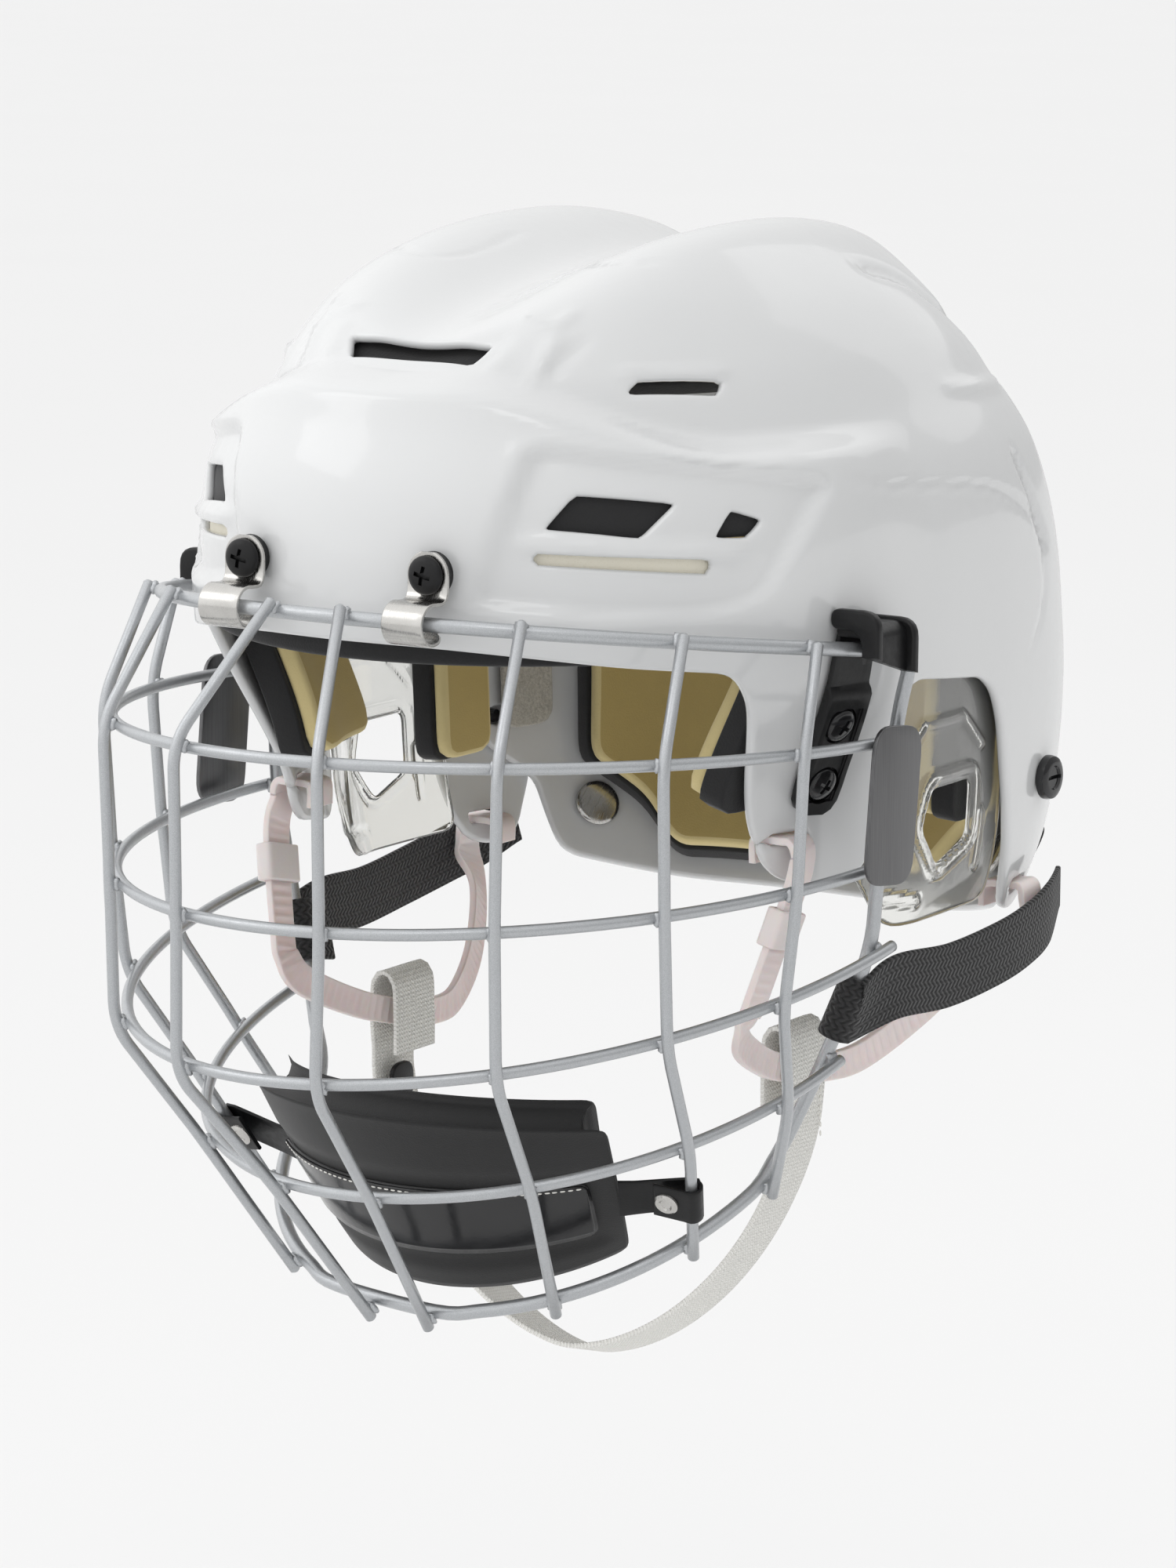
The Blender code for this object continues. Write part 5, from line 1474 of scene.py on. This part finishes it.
def make_chin_strap():
    px, py, pz = CHIN_PIVOT
    low_y, low_z = CHIN_LOW_POINT
    half = [(px - 4.2, py, pz - 13), (px - 4.2, py, pz - 2), (px - 3.6, py, pz + 8.4), (px, py, pz + 11.4),
            (px + 3.6, py, pz + 8.4), (px + 4.2, py, pz - 3)]
    drop, spread, count = pz - 12 - low_z, px + 3.6, 13
    for k in range(count):
        a = math.radians(90 * k / (count - 1))
        x = spread * math.cos(a) ** 1.2 if k < count - 1 else 0.0
        half.append((x, py + (low_y - py) * math.sin(a), pz - 12 - drop * math.sin(a) ** 1.15))
    points = half + [tuple(flip(p, -1)) for p in half[-2::-1]]
    line = smooth_line(points, 1.6)
    across = np.stack([np.zeros(len(line)), np.ones(len(line)),
                       -0.35 * np.maximum(0, (pz - line[:, 2] - 40) / 60)], 1)
    web = strip("chin_webbing", line, across, CHIN_WEB[0], CHIN_WEB[1], MAT["white_webbing"], 0.5)
    place(web, "chin_strap", "white_webbing", "chin_strap")
    outside = px + 4.2 + CHIN_WEB[1] / 2 + GAP
    base = np.array([-outside + 0.2, py + 2, pz - 14])
    snap = lathe("chin_snap", SNAP_PROFILE, base, (-1, 0, 0), MAT["steel"])
    place(snap, "chin_strap", "steel", "strap_snap")
    tab = slab("chin_tab", rounded_rectangle(11, 12, 3), 1.6, 0.5, (-px + 1.6, py - 3, pz - 22.5),
               ((0, 1, 0), (0, 0, 1), (1, 0, 0)), MAT["black_plastic"])
    place(tab, "chin_strap", "black_plastic", "strap_tab")
    stitches = []
    for side in (1, -1):
        for dy in (-7.2, 7.2):
            for k in range(9):
                at = np.array([side * (px + 4.2 + 0.65), py + dy, pz - 1.0 - k * 2.6])
                stitches.append(capsule(at, (0, 0.08, -1), 0.28, 1.7))
    thread = join_parts("chin_stitches", stitches, MAT["thread"])
    place(thread, "chin_strap", "white_webbing")


def capsule(centre, direction, radius, length, sides=7):
    """Short thread stitch with rounded ends."""
    direction = unit(np.asarray(direction, float))
    side = unit(np.cross(direction, (0.3, 0.5, 0.81)))
    up = np.cross(direction, side)
    rows = [(-0.5, 0.15), (-0.38, 0.75), (-0.2, 1.0), (0.2, 1.0), (0.38, 0.75), (0.5, 0.15)]
    verts = []
    for h, r in rows:
        verts += circle(np.asarray(centre) + direction * h * length, side, up, radius * r, sides)
    return verts, ring_faces(len(rows), sides)


def make_j_straps():
    top, bottom = np.array(SIDE_RUN[3], float), np.array(SIDE_RUN[4], float)
    along = unit(bottom - top)
    centre = top + (bottom - top) * 0.46
    back = np.array([0.12, 1, 0.05])
    back = unit(back - along * (back @ along))
    out = unit(np.cross(back, along))
    out = out * (1 if out[0] > 0 else -1)
    radius = FRAME_R + 1.2 + J_WEB[1] / 2
    loop = [centre - out * radius + back * 9, centre - out * radius + back * 3]
    for degrees in range(0, 181, 30):
        a = math.radians(degrees)
        loop.append(centre - out * radius * math.cos(a) - back * radius * math.sin(a))
    points = np.array([tuple(p) for p in loop] + J_STRAP_RUN, float)
    wide = np.array([along] * len(loop) + [unit(np.array([0.0, -0.12, -1.0]))] * len(J_STRAP_RUN))
    spine = smooth_line(np.hstack([points, wide]), 1.2)
    widths = J_WEB[0] - 5.0 * ease(0.86, 1.0, np.linspace(0, 1, len(spine)))
    for label, side in both_sides():
        strap = strip(f"side_strap_{label}", flip(spine[:, :3], side), flip(spine[:, 3:], side), widths,
                      J_WEB[1], MAT["black_webbing"], 0.6)
        place(strap, f"j_strap_{label}", "black_webbing", f"j_strap_{label}")


# ---------------------------------------------------------------- chin cup

def cup_point(u, v, inset):
    lean, radius = 34 * v, 76.5 - inset - 15 * v
    a = np.radians(u)
    centre_y = -67 + lean - 10 * v
    z = -71 - 66 * v - 9 * (1 - np.cos(a)) * (1 - v) + 34 * (1 - np.cos(a)) * v
    return np.stack([radius * np.sin(a), centre_y - radius * np.cos(a), z + 0 * v], -1)


def cup_frame(u, v, inset):
    p = cup_point(u, v, inset)
    n = unit(np.cross(cup_point(u + 0.5, v, inset) - cup_point(u - 0.5, v, inset),
                      cup_point(u, v - 0.01, inset) - cup_point(u, v + 0.01, inset)))
    return p, n


def make_chin_cup():
    scale = np.array([CUP_DEGREE, CUP_HEIGHT])
    half = CUP_SPAN * CUP_DEGREE
    corners = [(-half, 0.0), (half, 0.0), (half, CUP_HEIGHT), (-half, CUP_HEIGHT)]
    poly = np.array(round_corners(corners, 10.0, 7))

    def surface(u, v):
        p, n = cup_frame(u, v, 0.0)
        groove = ease(-5, -1, -np.abs((v - CUP_MIDDLE) * CUP_HEIGHT) + 12.0) * ease(-51, -46, -np.abs(u))
        puff = 1.6 * np.cos(np.pi * np.clip((v - CUP_MIDDLE) / 0.86, -0.5, 0.5)) - 1.0
        return p + n * (puff - groove)[..., None], n

    cup = trimmed_wall("chin_cup_foam", np.linspace(-60, 60, 94), np.linspace(-0.03, 1.03, 48), surface,
                       patch_test(poly, scale), 11.6, 5.6, MAT["cup_foam"])
    place(cup, "cage", "black_foam", "chin_cup")

    end, top, low = BAND_SPAN * CUP_DEGREE, BAND_TOP * CUP_HEIGHT, BAND_LOW * CUP_HEIGHT
    band_poly = np.array(round_corners([(-end, top), (end, top), (end, low), (-end, low)], 4.0, 5))

    def band_surface(u, v):
        p, n = cup_frame(u, v, 0.0)
        return p + n * 0.9, n

    band = trimmed_wall("chin_cup_cover", np.linspace(-58, 58, 100), np.linspace(0.36, 0.77, 24),
                        band_surface, patch_test(band_poly, scale), 1.2, 0.5, MAT["black_gloss"])
    place(band, "cage", "black_plastic", "chin_cup_band")
    stitches = []
    line, normal = cup_frame(np.linspace(-45, 45, 400), np.full(400, STITCH_ROW), 0.0)
    reach = arc_length(line)
    for d in np.arange(1.5, reach[-1] - 1, 2.2):
        k = int(np.argmin(np.abs(reach - d)))
        along = line[min(k + 1, len(line) - 1)] - line[k - 1]
        stitches.append(capsule(line[k] + normal[k] * 0.95, along, 0.24, 1.5))
    place(join_parts("chin_cup_stitches", stitches, MAT["thread"]), "cage", "black_plastic")
    make_cup_tabs()


def make_cup_tabs():
    path, _ = upright_line(UPRIGHT_ANGLES[2])
    top = path[np.argmin(np.abs(path[:, 2] + 90))]
    low = path[np.argmin(np.abs(path[:, 2] + 110))]
    along = unit(low - top)
    centre = top + along * ((-99 - top[2]) / along[2])
    start = cup_point(CUP_SPAN - 8.0, 0.55, 3.0)
    back = start - centre
    back = unit(back - along * (back @ along))
    out = unit(np.cross(along, back))
    out = out * (1 if out @ np.array([0.6, -1, 0]) > 0 else -1)
    radius = WIRE_R + 1.1
    wrap = []
    for degrees in range(-20, 201, 36):
        a = math.radians(degrees)
        wrap.append(centre + out * radius * math.cos(a) - back * radius * math.sin(a))
    tail = wrap[0] + back * 9 + out * 0.4
    route = smooth_line([tail, *wrap, start + (centre - start) * 0.35 - out * 1.0, start], 0.8)
    for label, side in both_sides():
        widths = 12.0 + 2.0 * ease(0.72, 1.0, np.linspace(0, 1, len(route)))
        tab = strip(f"cup_tab_{label}", flip(route, side), flip(along, side), widths, 1.1,
                    MAT["black_plastic"], 0.4)
        place(tab, "cage", "black_plastic", f"chin_cup_tab_{label}")
        at = flip(wrap[0] + back * 5.2 + out * 0.75, side)
        eyelet = lathe(f"cup_eyelet_{label}", EYELET_PROFILE, at, flip(out, side), MAT["steel"], 28)
        place(eyelet, "cage", "steel")


# ---------------------------------------------------------------- stage, light and camera

def make_stage():
    verts = [(x * FLOOR_HALF, y * FLOOR_HALF, FLOOR_Z) for x, y in ((-1, -1), (1, -1), (1, 1), (-1, 1))]
    s = Shader("pale_floor", (0.83, 0.83, 0.83), 0.9)
    s.colour(s.blend(s.noise(3, 2), (0.825, 0.825, 0.825), (0.815, 0.815, 0.815)))
    floor = new_object("floor", verts, [[0, 1, 2, 3]], s.material, smooth=False)
    world = bpy.data.worlds.new("studio")
    world.use_nodes = True
    tree = world.node_tree
    background = tree.nodes["Background"]
    background.inputs["Color"].default_value = (1, 1, 1, 1)
    direction = tree.nodes.new("ShaderNodeTexCoord").outputs["Generated"]
    towards = tree.nodes.new("ShaderNodeVectorMath")
    towards.operation = "DOT_PRODUCT"
    towards.inputs[1].default_value = BRIGHT_SIDE
    tree.links.new(direction, towards.inputs[0])
    level = tree.nodes.new("ShaderNodeMapRange")
    ends = {"From Min": -1.0, "From Max": 1.0, "To Min": WORLD_DIM, "To Max": WORLD_BRIGHT}
    for key, value in ends.items():
        level.inputs[key].default_value = value
    tree.links.new(towards.outputs["Value"], level.inputs["Value"])
    tree.links.new(level.outputs[0], background.inputs["Strength"])
    bpy.context.scene.world = world
    for name, location, size, energy in LIGHTS:
        data = bpy.data.lights.new(name, "AREA")
        data.shape = "SQUARE"
        data.size = size
        data.energy = energy
        light = bpy.data.objects.new(name, data)
        bpy.context.scene.collection.objects.link(light)
        light.location = location
        light.rotation_euler = (Vector((0, 0, -0.01)) - Vector(location)).to_track_quat("-Z", "Y").to_euler()


def make_camera():
    azimuth, elevation = math.radians(CAMERA_AZIMUTH), math.radians(CAMERA_ELEVATION)
    data = bpy.data.cameras.new("camera")
    data.sensor_width = CAMERA_SENSOR
    data.lens = CAMERA_LENS
    camera = bpy.data.objects.new("camera", data)
    bpy.context.scene.collection.objects.link(camera)
    camera.location = CAMERA_PLACE
    forward = Vector((-math.sin(azimuth) * math.cos(elevation), math.cos(azimuth) * math.cos(elevation),
                      -math.sin(elevation)))
    camera.rotation_euler = forward.to_track_quat("-Z", "Y").to_euler()
    bpy.context.scene.camera = camera


def cover_leftovers():
    """Gives every CAD node that still shows the finish of its own slot."""
    for name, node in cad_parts.items():
        if not node.hide_render:
            print("carried over:", name)
            for place_in in node.material_slots:
                place_in.material = MAT.get(place_in.material.name.split(".")[0], MAT["black_plastic"])


def main():
    make_front_shell()
    make_rear_shell()
    make_liner()
    make_ear_guards()
    make_cage()
    make_name_plates()
    make_j_clips()
    make_side_clips()
    make_size_plugs()
    make_rear_buckles()
    make_ear_loops()
    make_chin_strap()
    make_j_straps()
    make_chin_cup()
    cover_leftovers()
    make_stage()
    make_camera()
    bpy.context.scene.view_settings.view_transform = "Standard"


main()
